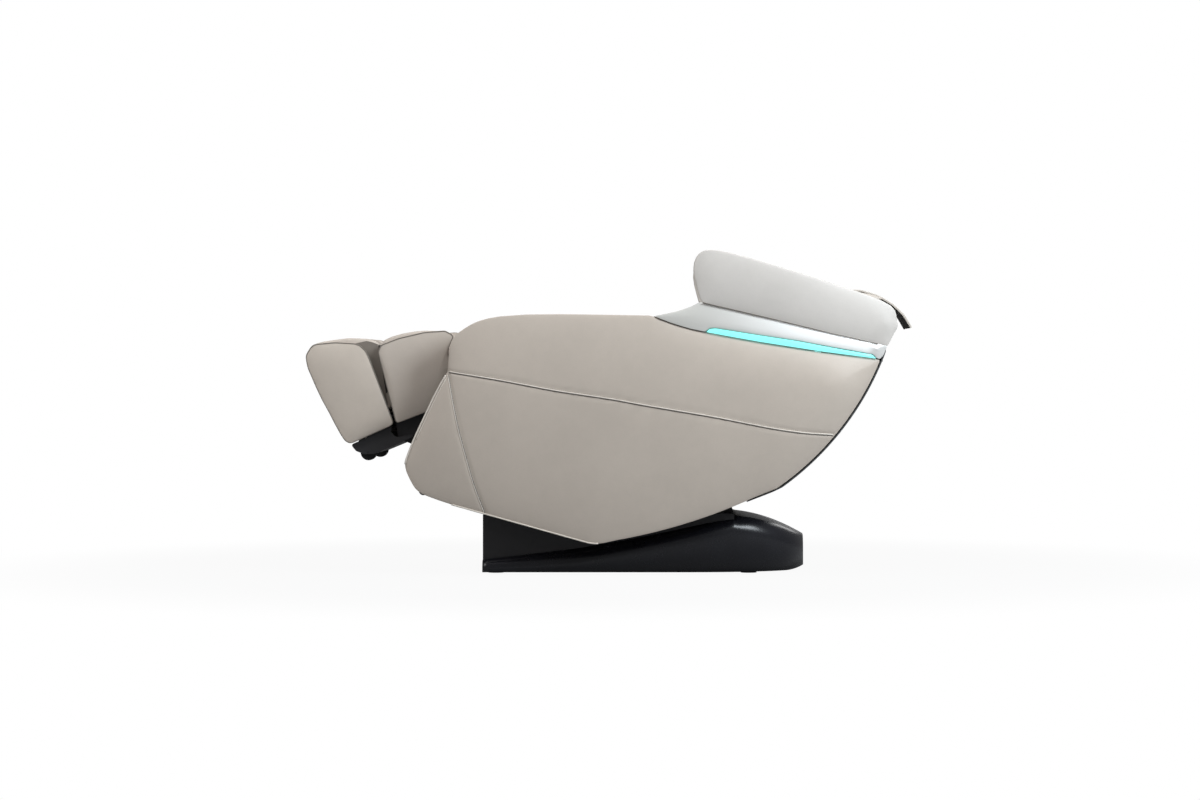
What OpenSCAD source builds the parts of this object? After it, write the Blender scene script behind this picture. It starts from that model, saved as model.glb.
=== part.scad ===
// Massage chair with a rocking capsule, an adjustable leg rest and a moving massage carriage.
// Frame: X runs from the feet (-X) to the head (+X), Y across the chair, Z up from the floor.
// Outlines are given as [x, z] or [x, z, corner radius] points in the side plane, in millimetres.

/* [Chair] */
// Overall width over the crowned side panels
chair_w = 770; // [760:2:790]
// Width of the seat and back cushions
seat_w = 500; // [490:2:504]
// Width of the leg rest
leg_w = 500; // [490:2:504]
// Wall of the moulded side panels
panel_wall = 4; // [3:0.5:6]
// How far the side panels bulge outwards
panel_crown = 24; // [16:2:30]

/* [Base] */
// Width of the inner box of the base
base_box_w = 480; // [474:2:500]
// How far the outer skirt stands out beyond the inner box, on each side
skirt_reach = 30; // [25:1:40]
// Wall of the base covers
cover_wall = 3; // [2.5:0.5:4]
// Height of the rubber feet
foot_pad_h = 8; // [6:1:10]
// Radius of the rear transport wheels
transport_wheel_r = 22; // [18:1:24]

/* [Padding] */
// Thickness of the seat and back cushions
cushion_t = 45; // [38:1:48]
// Radius of the padded roll under the knees
knee_roll_r = 55; // [48:1:56]
// Distance of each calf and foot well from the middle
well_y = 108; // [104:1:112]
// Half width of each calf and foot well
well_r = 62; // [56:1:66]

/* [Mechanism] */
// Radius of the knee tube
knee_tube_r = 13; // [11:0.5:15]
// Radius of the tilt shaft
tilt_shaft_r = 16; // [14:0.5:18]
// Length of the crank that tilts the capsule
tilt_crank = 100; // [96:1:104]
// Length of the crank that lifts the leg rest
lift_crank = 70; // [64:1:74]
// Radius of the foot rest's guide rods
guide_rod_r = 8; // [7:0.5:9]
// Radius of the massage rollers
roller_r = 32; // [28:1:34]
// Radius of the kneading axle
knead_axle_r = 9; // [8:0.5:11]
// Radius of the wheels under the foot rest
foot_wheel_r = 24; // [20:1:25]
// Radial running clearance of pins and shafts
run_gap = 0.05; // [0.03:0.01:0.08]

/* [Controls] */
// Radius of the round buttons
button_r = 9; // [8:0.5:11]
// How far a button travels
button_travel = 1.5; // [1:0.25:2]

/* [Hidden] */
$fn = 48;

// Colours
LEATHER = "#b3a99e";
PALE = "#cbc4ba";
WING = "#d9d5d0";
SILVER = "#c9c5bd";
CYAN = "#96fffa";
BLACK = "#1b1b1e";
GLOSS = "#15161a";
STEEL = "#8b9096";
GREY = "#4a4c50";
RUBBER = "#101010";
SOFT = "#8e857b";

// ---------- Places in the side plane, [x, z] ----------
knee = [-431, 663];          // axis of the knee tube, on the sitting surface
hip = [-38, 382];            // where the seat meets the back
head = [808, 821];           // top of the back
tilt_axis = [-30, 245];      // axis of the tilt shaft
seat_angle = atan2(knee.y - hip.y, hip.x - knee.x);   // fall of the seat towards the hip
back_angle = atan2(head.y - hip.y, head.x - hip.x);   // rise of the back
back_len = norm(head - hip);
seat_len = norm(hip - knee);
leg_angle = 24.5;            // fall of the leg rest towards the feet

half_w = chair_w / 2;
panel_rim = half_w - panel_crown;     // where the outer rim of a side panel lies
panel_in = panel_rim - 11;            // inner face of a side panel
seat_half = seat_w / 2;
leg_half = leg_w / 2;
frame_in = max(seat_half, leg_half) + 2;   // inner face of the seat frame's side plates
frame_t = 6;                          // thickness of the side plates
frame_out = frame_in + frame_t;       // their outer face, which carries the arms
arm_in = frame_out;
arm_out = panel_in - 1;
soft_gap = 0.3;                       // between soft pieces

// ---------- Helpers ----------
function unit(v) = v / norm(v);
function mix(a, b, t) = a + (b - a) * t;
function turn(v, a) = [v.x * cos(a) - v.y * sin(a), v.x * sin(a) + v.y * cos(a)];

// Points of one corner, rounded to the radius held in its third value
function corner(a, p, b, n) =
    let (
        q = [p.x, p.y],
        u = unit([a.x, a.y] - q),
        v = unit([b.x, b.y] - q),
        half = acos(max(-1, min(1, u * v))) / 2,
        most = 0.48 * min(norm([a.x, a.y] - q), norm([b.x, b.y] - q)),
        reach = min(p[2] / tan(half), most),
        r = reach * tan(half),
        c = q + unit(u + v) * r / sin(half),
        from = q + u * reach - c,
        sweep = 180 - 2 * half,
        way = (u.x * v.y - u.y * v.x) > 0 ? -1 : 1
    )
    [for (k = [0 : n]) c + turn(from, way * sweep * k / n)];

// Closed outline through [x, z, radius] points, with round corners where a radius is given
function rounded(pts, n = 6) = [
    for (i = [0 : len(pts) - 1])
    each (len(pts[i]) < 3 || pts[i][2] == 0
        ? [[pts[i].x, pts[i].y]]
        : corner(pts[(i + len(pts) - 1) % len(pts)], pts[i], pts[(i + 1) % len(pts)], n))
];

// The rounded inner corners of an open run of points, whose first and last only give directions
function chain(pts, n = 4) = [for (i = [1 : len(pts) - 2]) each corner(pts[i - 1], pts[i], pts[i + 1], n)];

// Points on an arc about c
function arc(c, r, from, to, n) = [for (k = [0 : n]) c + r * [cos(mix(from, to, k / n)), sin(mix(from, to, k / n))]];

// Nearest point on the stretch from a to b
function nearest(p, a, b) = a + (b - a) * max(0, min(1, ((p - a) * (b - a)) / ((b - a) * (b - a))));

// A closed skin over rings of equal length, which run counterclockwise seen along the loft.
// With tips, each end is closed by triangles about a point of its own, for ends that aren't flat.
// With strips, each end is closed by a strip from each point to the one opposite, for ends that turn in.
module loft(rings, tips = [], strips = false) {
    fans = len(tips) == 2;
    n = len(rings[0]);
    m = len(rings);
    c = m * n;
    last = c - n;
    polyhedron(
        points = concat([for (ring = rings) each ring], tips),
        faces = concat(
            fans ? [for (i = [0 : n - 1]) [(i + 1) % n, i, c]]
            : strips ? [for (i = [0 : n / 2 - 2]) [i + 1, i, n - 1 - i, n - 2 - i]]
            : [[for (i = [n - 1 : -1 : 0]) i]],
            [
                for (j = [0 : m - 2], i = [0 : n - 1])
                let (a = j * n + i, b = j * n + (i + 1) % n)
                each [[a, b, b + n], [a, b + n, a + n]]
            ],
            fans ? [for (i = [0 : n - 1]) [last + i, last + (i + 1) % n, c + 1]]
            : strips ? [for (i = [0 : n / 2 - 2]) [last + i, last + i + 1, last + n - 2 - i, last + n - 1 - i]]
            : [[for (i = [0 : n - 1]) last + i]]
        )
    );
}

// Extrudes a side-plane outline from y0 to y1
module across(y0, y1) {
    translate([0, y1, 0]) rotate([90, 0, 0]) linear_extrude(y1 - y0) children();
}

// The children on the left and their mirror on the right
module both_sides() {
    children();
    mirror([0, 1, 0]) children();
}

// A rod across the chair about a point of the side plane
module rod_y(at, r, y0, y1) {
    translate([at.x, y0, at.y]) rotate([-90, 0, 0]) cylinder(r = r, h = y1 - y0);
}

// Frames that lie along the seat, the back and the leg rest: X along the piece, Z out of the surface
module on_seat() { translate([knee.x, 0, knee.y]) rotate([0, seat_angle, 0]) children(); }
module on_back() { translate([hip.x, 0, hip.y]) rotate([0, -back_angle, 0]) children(); }
module on_leg() { translate([knee.x, 0, knee.y]) rotate([0, -leg_angle, 0]) children(); }
function seat_point(s, n) = knee + s * [cos(seat_angle), -sin(seat_angle)] + n * [sin(seat_angle), cos(seat_angle)];
function back_point(s, n) = hip + s * [cos(back_angle), sin(back_angle)] + n * [-sin(back_angle), cos(back_angle)];
function leg_point(s, n) = knee + s * [cos(leg_angle), sin(leg_angle)] + n * [-sin(leg_angle), cos(leg_angle)];

// A bar between two points of the side plane, as a flat plate outline with round ends
module bar(a, b, r) {
    lean = atan2(b.y - a.y, b.x - a.x);
    polygon(concat(arc(a, r, lean + 90, lean + 270, 9), arc(b, r, lean - 90, lean + 90, 9)));
}

// ---------- Outlines ----------
// Rear arc of the capsule and the long curve of its underside
rear_centre = [2, 968];
rear_r = 861;
under_centre = [-270, 1747];
under_r = 1666;

panel_outline = concat(
    [[-489, 594], [-506, 565], [-526, 527], [-548, 480], [-567, 440], [-582, 408], [-594, 378], [-603, 355]],
    [[-608.5, 338], [-609.5, 324], [-605.5, 308], [-594.5, 284], [-584, 265], [-575, 254], [-562, 244]],
    [[-540, 234.5], [-510, 223.5], [-470, 210.5]],
    chain([[-470, 210.5], [-47, 92, 120], [86, 120]], 5),
    arc(under_centre, under_r, -80, -65.4, 5),
    arc(rear_centre, rear_r, -55.5, -23.4, 11),
    [[797.5, 640], [617, 662], [440, 689]],
    [[281, 719], [235, 728.8], [205, 737.5], [176, 747], [146, 758.5], [128, 767], [116, 770.5]],
    [[-32, 773], [-150, 774.5], [-250, 773.5], [-328, 768], [-364, 762], [-392, 754], [-415, 743.5]],
    [[-436, 730.5], [-455, 717], [-469, 702], [-475.5, 686], [-480, 655], [-482.5, 625], [-483, 606]]
);
trim_outline = [
    [130, 769], [147, 760.5], [177, 749], [206, 739.5], [236, 731], [278, 722.5], [289, 732], [307, 734.5], [420, 716.5],
    [546, 697.5], [660, 676.5], [775, 656.5], [789, 643], [797, 641.5], [808, 655], [818, 680.5], [655, 717],
    [499, 755], [380, 783], [270, 808], [262, 810], [232, 795], [190, 782]
];
light_outline = [
    [282, 721.5], [291, 730], [307, 732.5], [420, 714.5], [546, 695.5], [660, 674.5], [774, 654.5], [786, 643],
    [660, 658.5], [546, 675.5], [440, 692.5], [360, 706.5]
];
wing_outline = [
    [271, 808.6], [263, 823.5], [255.5, 850], [248, 880], [244.5, 905], [247, 928], [254, 944], [265.5, 956.5],
    [279, 962], [296, 963.5], [318, 961.5], [345, 956], [411, 939.5], [500, 912.3], [598, 882.8], [687, 853.3],
    [720, 843.5], [762, 829], [802, 813.5], [828, 799], [841, 785], [845, 770], [845.5, 757], [849, 744],
    [847, 733], [838, 719], [832, 707], [826, 695], [818.5, 681.1], [655, 717.6], [499, 755.6], [380, 783.6]
];

// Outline of the calf piece and of the foot piece, seen from the side
calf_outline = concat(
    chain([[-700, 663], [-646, 450, 6], [-514, 501, 14], [-480, 622]], 3),
    arc(knee, knee_roll_r + 5, -142, -210, 4),
    chain([
        [-483, 693], [-474, 712, 8], [-500, 726, 12], [-560, 722, 120], [-640, 703, 60], [-692, 683, 14],
        [-700, 663, 10], [-646, 450]
    ], 3)
);
foot_outline = rounded([
    [-784, 389, 8], [-654, 447, 5], [-709, 594, 60], [-736, 664, 12], [-760, 687, 30], [-830, 691, 80],
    [-897, 685, 20], [-917, 652, 10], [-911, 617], [-901, 594], [-886, 559], [-868, 521], [-847, 483], [-829, 448],
    [-812, 417], [-799, 397, 6]
], 4);
sled_outline = rounded([
    [-660, 440, 3], [-784, 385, 6], [-768, 366, 12], [-745, 357, 10], [-715, 357, 30], [-640, 388, 60],
    [-598, 409, 2], [-597, 416, 2], [-648, 407, 8], [-664, 424, 4]
], 3);

// The shoulders and the tail narrow a little in plan
taper_from = 470;
taper_to = 860;
taper = 32;
function narrow(x) = x < taper_from ? 0 : taper * pow((x - taper_from) / (taper_to - taper_from), 2);

// ---------- Crowned shells ----------
// One ring of a crowned panel: the outline drawn towards its middle line by share t, at depth y.
// It follows the taper by the share plan.
function crown_ring(outline, a, b, t, y, plan = 1) = [
    for (p = outline)
    let (q = mix(p, nearest(p, a, b), t))
    [q.x, y + plan * narrow(q.x), q.y]
];
function tip(a, b, y, plan = 1) = let (q = mix(a, b, 0.5)) [q.x, y + plan * narrow(q.x), q.y];

// A hollow crowned panel on the left side, open towards the chair
module crowned_shell(outline, a, b, rim_y, crown, depth, wall) {
    shares = [0.96, 0.68, 0.42, 0.22, 0.09, 0.025];
    rise = [1, 0.97, 0.84, 0.62, 0.36, 0.14];
    edge = wall / 120;
    loft(concat(
        [for (k = [0 : 5]) crown_ring(outline, a, b, shares[k], -rim_y - crown * rise[k])],
        [crown_ring(outline, a, b, 0, -rim_y), crown_ring(outline, a, b, 0, -rim_y + depth)],
        [crown_ring(outline, a, b, edge, -rim_y + depth)],
        [for (k = [4 : -1 : 0]) crown_ring(outline, a, b, max(shares[k], edge), -rim_y - crown * rise[k] + wall)]
    ), [tip(a, b, -rim_y - crown), tip(a, b, -rim_y - crown + wall)]);
}

// A solid crowned slab on the left side, bulging on both faces
module crowned_slab(outline, a, b, out_y, crown_out, in_y, crown_in, plan = 1) {
    shares = [0.95, 0.55, 0.24, 0.07];
    rise = [1, 0.92, 0.62, 0.26];
    loft(concat(
        [for (k = [0 : 3]) crown_ring(outline, a, b, shares[k], -out_y - crown_out * rise[k], plan)],
        [crown_ring(outline, a, b, 0, -out_y, plan), crown_ring(outline, a, b, 0, -in_y, plan)],
        [
            for (k = crown_in == 0 ? [0] : [3 : -1 : 0])
            crown_ring(outline, a, b, shares[k], -in_y + crown_in * rise[k], plan)
        ]
    ), [tip(a, b, -out_y - crown_out, plan), tip(a, b, -in_y + crown_in, plan)]);
}

// ---------- Base ----------
base_front = -387;
base_rear = 578;
skirt_w = base_box_w + 2 * skirt_reach;
box_rear = 366;
box_top = 179;
skirt_low = 5;
frame_h = 20;                 // height of the base frame's channels
tray_z = foot_pad_h + frame_h + 2;    // top of the tray that the electrics stand on
rail_y = 190;                 // middle of each slide rail
rail_z = 92;                  // underside of the slide rails
rail_h = 16;
slot_half = 226;              // half width of the slot that the carriage stands in
wheel_axle = [470, transport_wheel_r + 2];

module base_frame() color(STEEL) {
    wall = 3;
    both_sides() {
        difference() {
            translate([base_front + 12, rail_y - 20, foot_pad_h]) cube([820, 40, frame_h]);
            translate([base_front + 10, rail_y - 20 + wall, foot_pad_h + wall])
                cube([824, 40 - 2 * wall, frame_h - 2 * wall]);
        }
        for (x = [-330, -60, 210])
            translate([x, rail_y - 12, foot_pad_h + frame_h]) cube([30, 24, rail_z - foot_pad_h - frame_h]);
        for (x = [-345, 20, 310])
            translate([x, rail_y + 19, foot_pad_h + 4]) cube([30, base_box_w / 2 - cover_wall - rail_y - 19, 12]);
        difference() {
            translate([425, 146, 12]) cube([62, 6, 26]);
            rod_y(wheel_axle, 5 + run_gap, 140, 160);
        }
    }
    for (x = [base_front + 14, -80, 180, 400])
        translate([x, -rail_y + 20, foot_pad_h]) cube([30, 2 * rail_y - 40, frame_h]);
    translate([180, -150, foot_pad_h + frame_h]) cube([250, 300, 2]);
    translate([base_front + 14, -150, foot_pad_h + frame_h]) cube([337, 300, 2]);
}

module rubber_feet() color(RUBBER) both_sides()
    for (x = [-350, 410]) translate([x, rail_y, 0]) cylinder(r = 24, h = foot_pad_h);

module slide_rails() color(STEEL) both_sides()
    translate([-340, rail_y - 10, rail_z]) cube([590, 20, rail_h]);

module base_box_cover() color(BLACK)
    difference() {
        across(-base_box_w / 2, base_box_w / 2) polygon(rounded([
            [base_front, skirt_low, 0], [base_front, box_top, 6], [box_rear, box_top, 4], [box_rear, skirt_low, 0]
        ], 4));
        across(-base_box_w / 2 + cover_wall, base_box_w / 2 - cover_wall) polygon([
            [base_front + cover_wall, 0], [base_front + cover_wall, box_top - cover_wall],
            [box_rear + 1, box_top - cover_wall], [box_rear + 1, 0]
        ]);
        translate([-366, -slot_half, 100]) cube([640, 2 * slot_half, 100]);
    }

// The skirt wraps the box low at the front and rises to a dome behind it
function skirt_top(x) = x < 368
    ? 42 + 0.1 * (x + 387) + 0.0001 * pow(x + 387, 2)
    : 172 - 0.08 * (x - 368) - 0.0011 * pow(x - 368, 2);
// Its lower edge turns up behind
function skirt_foot(x) = skirt_low + 12 * pow(max(0, (x - 520) / 58), 2);
function skirt_half(x) = skirt_w / 2 * (x < 200 ? 1 : sqrt(1 - pow((x - 200) / 390, 2.6)));
skirt_stations = [-387, -240, -90, 60, 200, 290, 368, 425, 475, 515, 545, 565, 578];

// One section of the skirt at x, drawn in by a wall and moved to its own place along the base
function skirt_ring(x, wall, at) =
    let (
        w = skirt_half(x) - wall,
        h = skirt_top(x) - wall,
        r = min(46, h * 0.6, w * 0.6)
    )
    [
        for (p = concat(
            [[-w, skirt_foot(x) - wall], [-w, h - r]],
            [for (a = [20 : 20 : 80]) [-w + r - r * cos(a), h - r + r * sin(a)]],
            [[0, h + 2]],
            [for (a = [80 : -20 : 20]) [w - r + r * cos(a), h - r + r * sin(a)]],
            [[w, h - r], [w, skirt_foot(x) - wall]]
        ))
        [at, p.x, p.y]
    ];

module base_skirt() color(GLOSS)
    difference() {
        loft([for (x = skirt_stations) skirt_ring(x, 0, x)]);
        loft([for (x = skirt_stations) skirt_ring(x, cover_wall + 1, x - 4 * (x + 387) / 965 - 1)]);
        translate([base_front - 9, -base_box_w / 2 - 0.3, -1]) cube([box_rear - base_front + 9.3, base_box_w + 0.6, 200]);
        translate([560, -44, 26]) cube([40, 88, 30]);
    }

module power_unit() color(GREY) {
    translate([300, -100, tray_z]) cube([100, 200, 70]);
    for (y = [-80 : 20 : 80]) translate([310, y - 3, tray_z + 70]) cube([80, 6, 8]);
}

module air_pump() color(BLACK) {
    translate([195, -120, tray_z]) cube([90, 100, 58]);
    translate([240, -70, tray_z + 58]) cylinder(r = 22, h = 8);
    for (y = [-105, -35]) translate([285, y, tray_z + 30]) rotate([0, 90, 0]) cylinder(r = 5, h = 10);
}

module control_board() color("#1e5a3a") {
    translate([-230, 60, tray_z]) cube([150, 84, 12]);
    for (x = [-215 : 30 : -110]) translate([x, 75, tray_z + 12]) cube([18, 50, 14]);
}

// Mains inlet and the body of the switch beside it, set in the rear of the dome
inlet_z = 41;
module power_inlet() color(BLACK)
    difference() {
        union() {
            translate([530, -42, inlet_z - 14]) cube([44, 84, 28]);
            translate([430, -20, inlet_z - 12]) cube([100, 40, 8]);
        }
        translate([552, -37, inlet_z - 10]) cube([30, 36, 20]);
        translate([556, 8, inlet_z - 9]) cube([30, 28, 18]);
        translate([switch_at.x, switch_at.y, inlet_z - 12]) cylinder(r = switch_pin_r + run_gap, h = 24);
    }

// Rocking key of the switch, on an upright pin of its own
switch_at = [564, 22];
switch_pin_r = 1.5;
module power_switch() color(RUBBER) {
    intersection() {
        translate([558.2, 9.5, inlet_z - 8]) cube([20, 25, 16]);
        translate([549, 22, 0]) cylinder(r = 24, h = 80);
    }
    translate([switch_at.x, switch_at.y, inlet_z - 11.5]) cylinder(r = switch_pin_r, h = 23);
}

module transport_wheels() color(RUBBER) {
    rod_y(wheel_axle, 5, -158, 158);
    both_sides() rod_y(wheel_axle, transport_wheel_r, 118, 142);
}

// ---------- Carriage and tilt drive ----------
plate_y = 202;                // inner face of the carriage's side plates
plate_t = 8;
slide_gap = 0.3;
tilt_anchor = [-285, tilt_axis.y - tilt_crank];    // rear pivot of the tilt actuator
tilt_pin = tilt_axis - [0, tilt_crank];            // crank pin that it pushes
pin_r = 7;
pin_play = 2;                 // play of an actuator's eye on its crank pin

module carriage_frame() color(STEEL) {
    both_sides() difference() {
        across(plate_y, plate_y + plate_t) {
            polygon([[-305, 112], [-305, 164], [-90, 172], [30, 172], [185, 150], [185, 112]]);
            bar([-30, 160], tilt_axis, tilt_shaft_r + 16);
        }
        rod_y(tilt_axis, tilt_shaft_r + run_gap, plate_y - 1, plate_y + plate_t + 1);
    }
    both_sides() for (x = [-300, 120]) difference() {
        translate([x, rail_y - 16, rail_z + 2]) cube([60, plate_y + 1 - rail_y + 16, 32]);
        translate([x - 1, rail_y - 10 - slide_gap, 0]) cube([62, 20 + 2 * slide_gap, rail_z + rail_h + 0.1]);
    }
    rod_y(tilt_anchor, 12, -plate_y - 1, plate_y + 1);
    rod_y([150, 134], 12, -plate_y - 1, plate_y + 1);
}

// Linear actuator along +X from its rear pivot, with its motor slung beside the tube at motor_z
module actuator_body(pivot_r, tube_r, tube_end, bore_r, motor_z) {
    difference() {
        union() {
            rod_y([0, 0], pivot_r + 9, -17, 17);
            rotate([0, 90, 0]) cylinder(r = tube_r, h = tube_end);
            translate([26, 0, motor_z]) rotate([0, 90, 0]) cylinder(r = 24, h = 100);
            translate([26, -14, min(0, motor_z)]) cube([26, 28, abs(motor_z)]);
        }
        rod_y([0, 0], pivot_r + run_gap, -60, 60);
        translate([60, 0, 0]) rotate([0, 90, 0]) cylinder(r = bore_r + run_gap, h = tube_end);
    }
}

// Its rod, from inside the tube to the slotted eye on the crank pin
module actuator_rod(from, reach, r, play_up) {
    difference() {
        union() {
            translate([from, 0, 0]) rotate([0, 90, 0]) cylinder(r = r, h = reach - from);
            translate([reach, 9, 0]) rotate([90, 0, 0]) linear_extrude(18)
                bar([0, -play_up], [0, play_up], pin_r + pin_play + 6);
        }
        translate([reach, 10, 0]) rotate([90, 0, 0]) linear_extrude(20)
            bar([0, -play_up], [0, play_up], pin_r + pin_play);
    }
}

module tilt_drive() { translate([tilt_anchor.x, 0, tilt_anchor.y]) children(); }
module tilt_actuator_body() color(BLACK) tilt_drive() actuator_body(12, 21, 160, 10, -46);
module tilt_actuator_rod() color(STEEL) tilt_drive() actuator_rod(70, tilt_pin.x - tilt_anchor.x, 10, 0.1);

// ---------- Seat and back structure ----------
lift_anchor = [-170, 330];    // rear pivot of the leg rest's actuator
rail_in = 178;                // inner face of the massage rails
rail_out = 198;
rail_n = [-120, -90];         // the rails' lower and upper face below the back's surface
back_foot = back_point(30, -115);
back_top = back_point(800, -77);

module seat_frame() color(STEEL) {
    seat_low = seat_point(seat_len - 60, -78);
    both_sides() difference() {
        across(frame_in, frame_out) {
            bar(knee, seat_point(90, -62), 18);
            circle_at(knee, 26);
            bar(seat_point(90, -62), seat_low, 16);
            bar(seat_low, back_foot, 20);
            bar(seat_low, tilt_axis, 24);
            circle_at(tilt_axis, tilt_shaft_r + 18);
            bar(back_foot, back_point(240, -118), 20);
            bar(back_point(240, -118), tilt_axis, 18);
            bar(back_point(240, -118), back_top, 18);
            bar(lift_anchor, seat_low, 18);
            bar(lift_anchor, tilt_axis, 14);
            bar(back_point(450, -110), back_point(450, -228), 14);
        }
        rod_y(tilt_axis, tilt_shaft_r, frame_in - 1, frame_out + 1);
    }
}
module circle_at(p, r) { translate(p) circle(r); }

// Tubes between the two side plates
module cross_tubes() color(STEEL) {
    rod_y(knee, knee_tube_r, -frame_in, frame_in);
    for (p = [lift_anchor, back_point(60, -150), back_top, back_point(450, -228)]) rod_y(p, 12, -frame_in, frame_in);
}

// Hoops outside the plates, which carry the side panels and the shell behind the back
module shell_hoops() color(STEEL) both_sides() {
    for (p = [lift_anchor, back_point(240, -118)]) rod_y(p, 11, frame_out, panel_in - 5);
    rod_y(back_point(700, -88), 11, frame_out, panel_in - 16);
    across(panel_in - 6.2, panel_in - 0.2) {
        bar(lift_anchor, [-556, 252], 14);
        bar(lift_anchor, [-60, 112], 14);
        bar([-60, 112], back_point(240, -118), 14);
        bar(back_point(240, -118), [440, 250], 14);
    }
    across(panel_in - 17, panel_in - 11) bar(back_point(700, -88), back_point(700, -190), 12);
}

module tilt_shaft() color(STEEL) {
    rod_y(tilt_axis, tilt_shaft_r, -frame_out, frame_out);
    both_sides() difference() {
        across(11, 19) {
            bar(tilt_axis, tilt_pin, 14);
            circle_at(tilt_axis, tilt_shaft_r + 7);
        }
    }
    rod_y(tilt_pin, pin_r, -19, 19);
    both_sides() rod_y(tilt_axis, tilt_shaft_r + 8, plate_y + plate_t + 0.5, frame_in);
}

// Racks under the rails: teeth with play on both flanks
tooth_pitch = 6;
pinion_teeth = 14;
pinion_r = tooth_pitch * pinion_teeth / 360 * 180 / PI;
travel_mid = 480;             // where the carriage rests along the back
pinion_at = 78;               // the pinions' axis, ahead of the carriage's middle
rack_mid = travel_mid + pinion_at;
rack_teeth = 68;
rack_len = rack_teeth * tooth_pitch;
tooth_h = 2.2;
rack_n = rail_n[0] - 3;       // where the rack's teeth grow from
pinion_n = rack_n - tooth_h - 0.6 - pinion_r;     // axis of the pinions

module massage_rails() color(STEEL) both_sides() on_back() {
    difference() {
        translate([130, rail_in, rail_n[0]]) cube([710, rail_out - rail_in, rail_n[1] - rail_n[0]]);
        translate([129, rail_in - 1, rail_n[0] + 3]) cube([712, rail_out - rail_in - 2, rail_n[1] - rail_n[0] - 6]);
    }
    for (s = [140, 440, 780]) translate([s, rail_out - 1, -100]) cube([30, frame_in - rail_out + 1, 8]);
    translate([0, rail_out, 0]) rotate([90, 0, 0]) linear_extrude(16) polygon(concat(
        [[rack_mid + rack_len / 2, rail_n[0] + 1], [rack_mid - rack_len / 2, rail_n[0] + 1]],
        [
            for (k = [-rack_teeth / 2 : rack_teeth / 2 - 1])
            let (x = rack_mid + k * tooth_pitch)
            each [[x + 1.9, rack_n], [x + 2.5, rack_n - tooth_h], [x + 3.5, rack_n - tooth_h], [x + 4.1, rack_n]]
        ],
        [[rack_mid + rack_len / 2, rack_n]]
    ));
}

// ---------- Side shells ----------
module side_panel() color(LEATHER)
    crowned_shell(panel_outline, [-400, 480], [640, 560], panel_rim, panel_crown, panel_rim - panel_in, panel_wall);
module shoulder_trims() color(SILVER) both_sides()
    crowned_slab(trim_outline, [236, 768], [800, 670], panel_rim + 4, 8, panel_in, 0);
module light_strips() color(CYAN) both_sides()
    crowned_slab(light_outline, [300, 724], [772, 649.5], panel_rim + 4, 3, panel_in, 0);
module wing() color(WING)
    crowned_slab(wing_outline, [320, 885], [810, 748], panel_rim, 18, panel_in - 78, 10);

module side_panel_left() { side_panel(); }
module side_panel_right() { mirror([0, 1, 0]) side_panel(); }
module wing_left() { wing(); }
module wing_right() { mirror([0, 1, 0]) wing(); }

// Shell behind the back: it follows the rear arc, bulges to the middle and rolls in at the head
function cover_ring(p, q, half, bulge, hollow) = [
    for (k = [-6 : 6])
    let (t = k / 6, b = p + unit(p - q) * bulge * (1 - t * t))
    [b.x, half * t, b.y],
    for (k = [6 : -1 : -6])
    let (t = k / 6, b = q + unit(p - q) * hollow * (1 - t * t))
    [b.x, half * t, b.y]
];
rear_lip = 7.5;               // how far the shell's rim stands out past the side panels
module back_cover() color(BLACK) {
    angles = [for (k = [0 : 10]) -60 + 3.93 * k];
    rear = concat(angles, [-19.7, -18]);
    top = [[800, 724], -12, 62, 3];
    outer = concat(
        [[402, 216]],
        [for (a = rear) rear_centre + (rear_r + rear_lip) * [cos(a), sin(a)]],
        arc(top[0], 38, top[1], top[2], top[3])
    );
    inner = concat(
        [[402, 221]],
        [for (a = rear) rear_centre + (rear_r - 1) * [cos(a), sin(a)]],
        arc(top[0], 33, top[1], top[2], top[3])
    );
    loft([
        for (i = [0 : len(outer) - 1])
        let (half = i > len(angles) ? panel_in - 92 : panel_in - 0.3)
        cover_ring(outer[i], inner[i], half - narrow(outer[i].x), i < 2 ? 2 : 5, i < 2 ? 2 : 9)
    ]);
}

module seat_underpan() color(BLACK)
    difference() {
        on_seat() translate([100, -frame_in, -62]) cube([seat_len - 170, 2 * frame_in, 62 - cushion_t]);
        on_seat() translate([104, -frame_in + 4, -63]) cube([seat_len - 178, 2 * frame_in - 8, 59 - cushion_t]);
    }

// ---------- Padding ----------
// A pad along +X: its top is crowned and drawn down at the rim, with sewn channels across it
function pad_height(u, v, t, channels) =
    t * (1 - 0.34 * pow(abs(u), 5)) * (1 - 0.3 * pow(abs(v), 8))
    - (len([for (c = channels) if (abs(v - c) < 0.012) c]) > 0 ? 7 : 0);
function pad_ring(x, v, half, low, t, channels, cols, slant) =
    let (top = [for (k = [0 : cols]) low + pad_height(2 * k / cols - 1, v, t, channels)])
    concat(
        [for (k = [0 : cols]) [x - slant * (top[k] - low - t), half * (2 * k / cols - 1), top[k]]],
        [[x + slant * t, half - 2, low], [x + slant * t, -half + 2, low]]
    );
module pad(from, to, half, low, t, channels, cols, slant_from = 0, slant_to = 0, taper_x = 0, taper_dx = 0) {
    mid = [for (c = channels) each [c - 0.05, c, c + 0.05]];
    stations = concat([-1, -0.97, -0.9], mid, [0.9, 0.97, 1]);
    loft([
        for (v = stations)
        let (s = (v + 1) / 2, slant = v < 0 ? slant_from * pow(-v, 9) : slant_to * pow(v, 9))
        pad_ring(mix(from, to, s), v, half - narrow(taper_x + taper_dx * s), low, t, channels, cols, slant)
    ]);
}

// The seat and back pads meet on the line that halves the angle between them
meet = tan((seat_angle + back_angle) / 2);
module seat_cushion() color(LEATHER) on_seat()
    pad(knee_roll_r + 8, seat_len - 0.2, seat_half, -cushion_t, cushion_t, [-0.45, 0, 0.45], 14, 0, meet);

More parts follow.
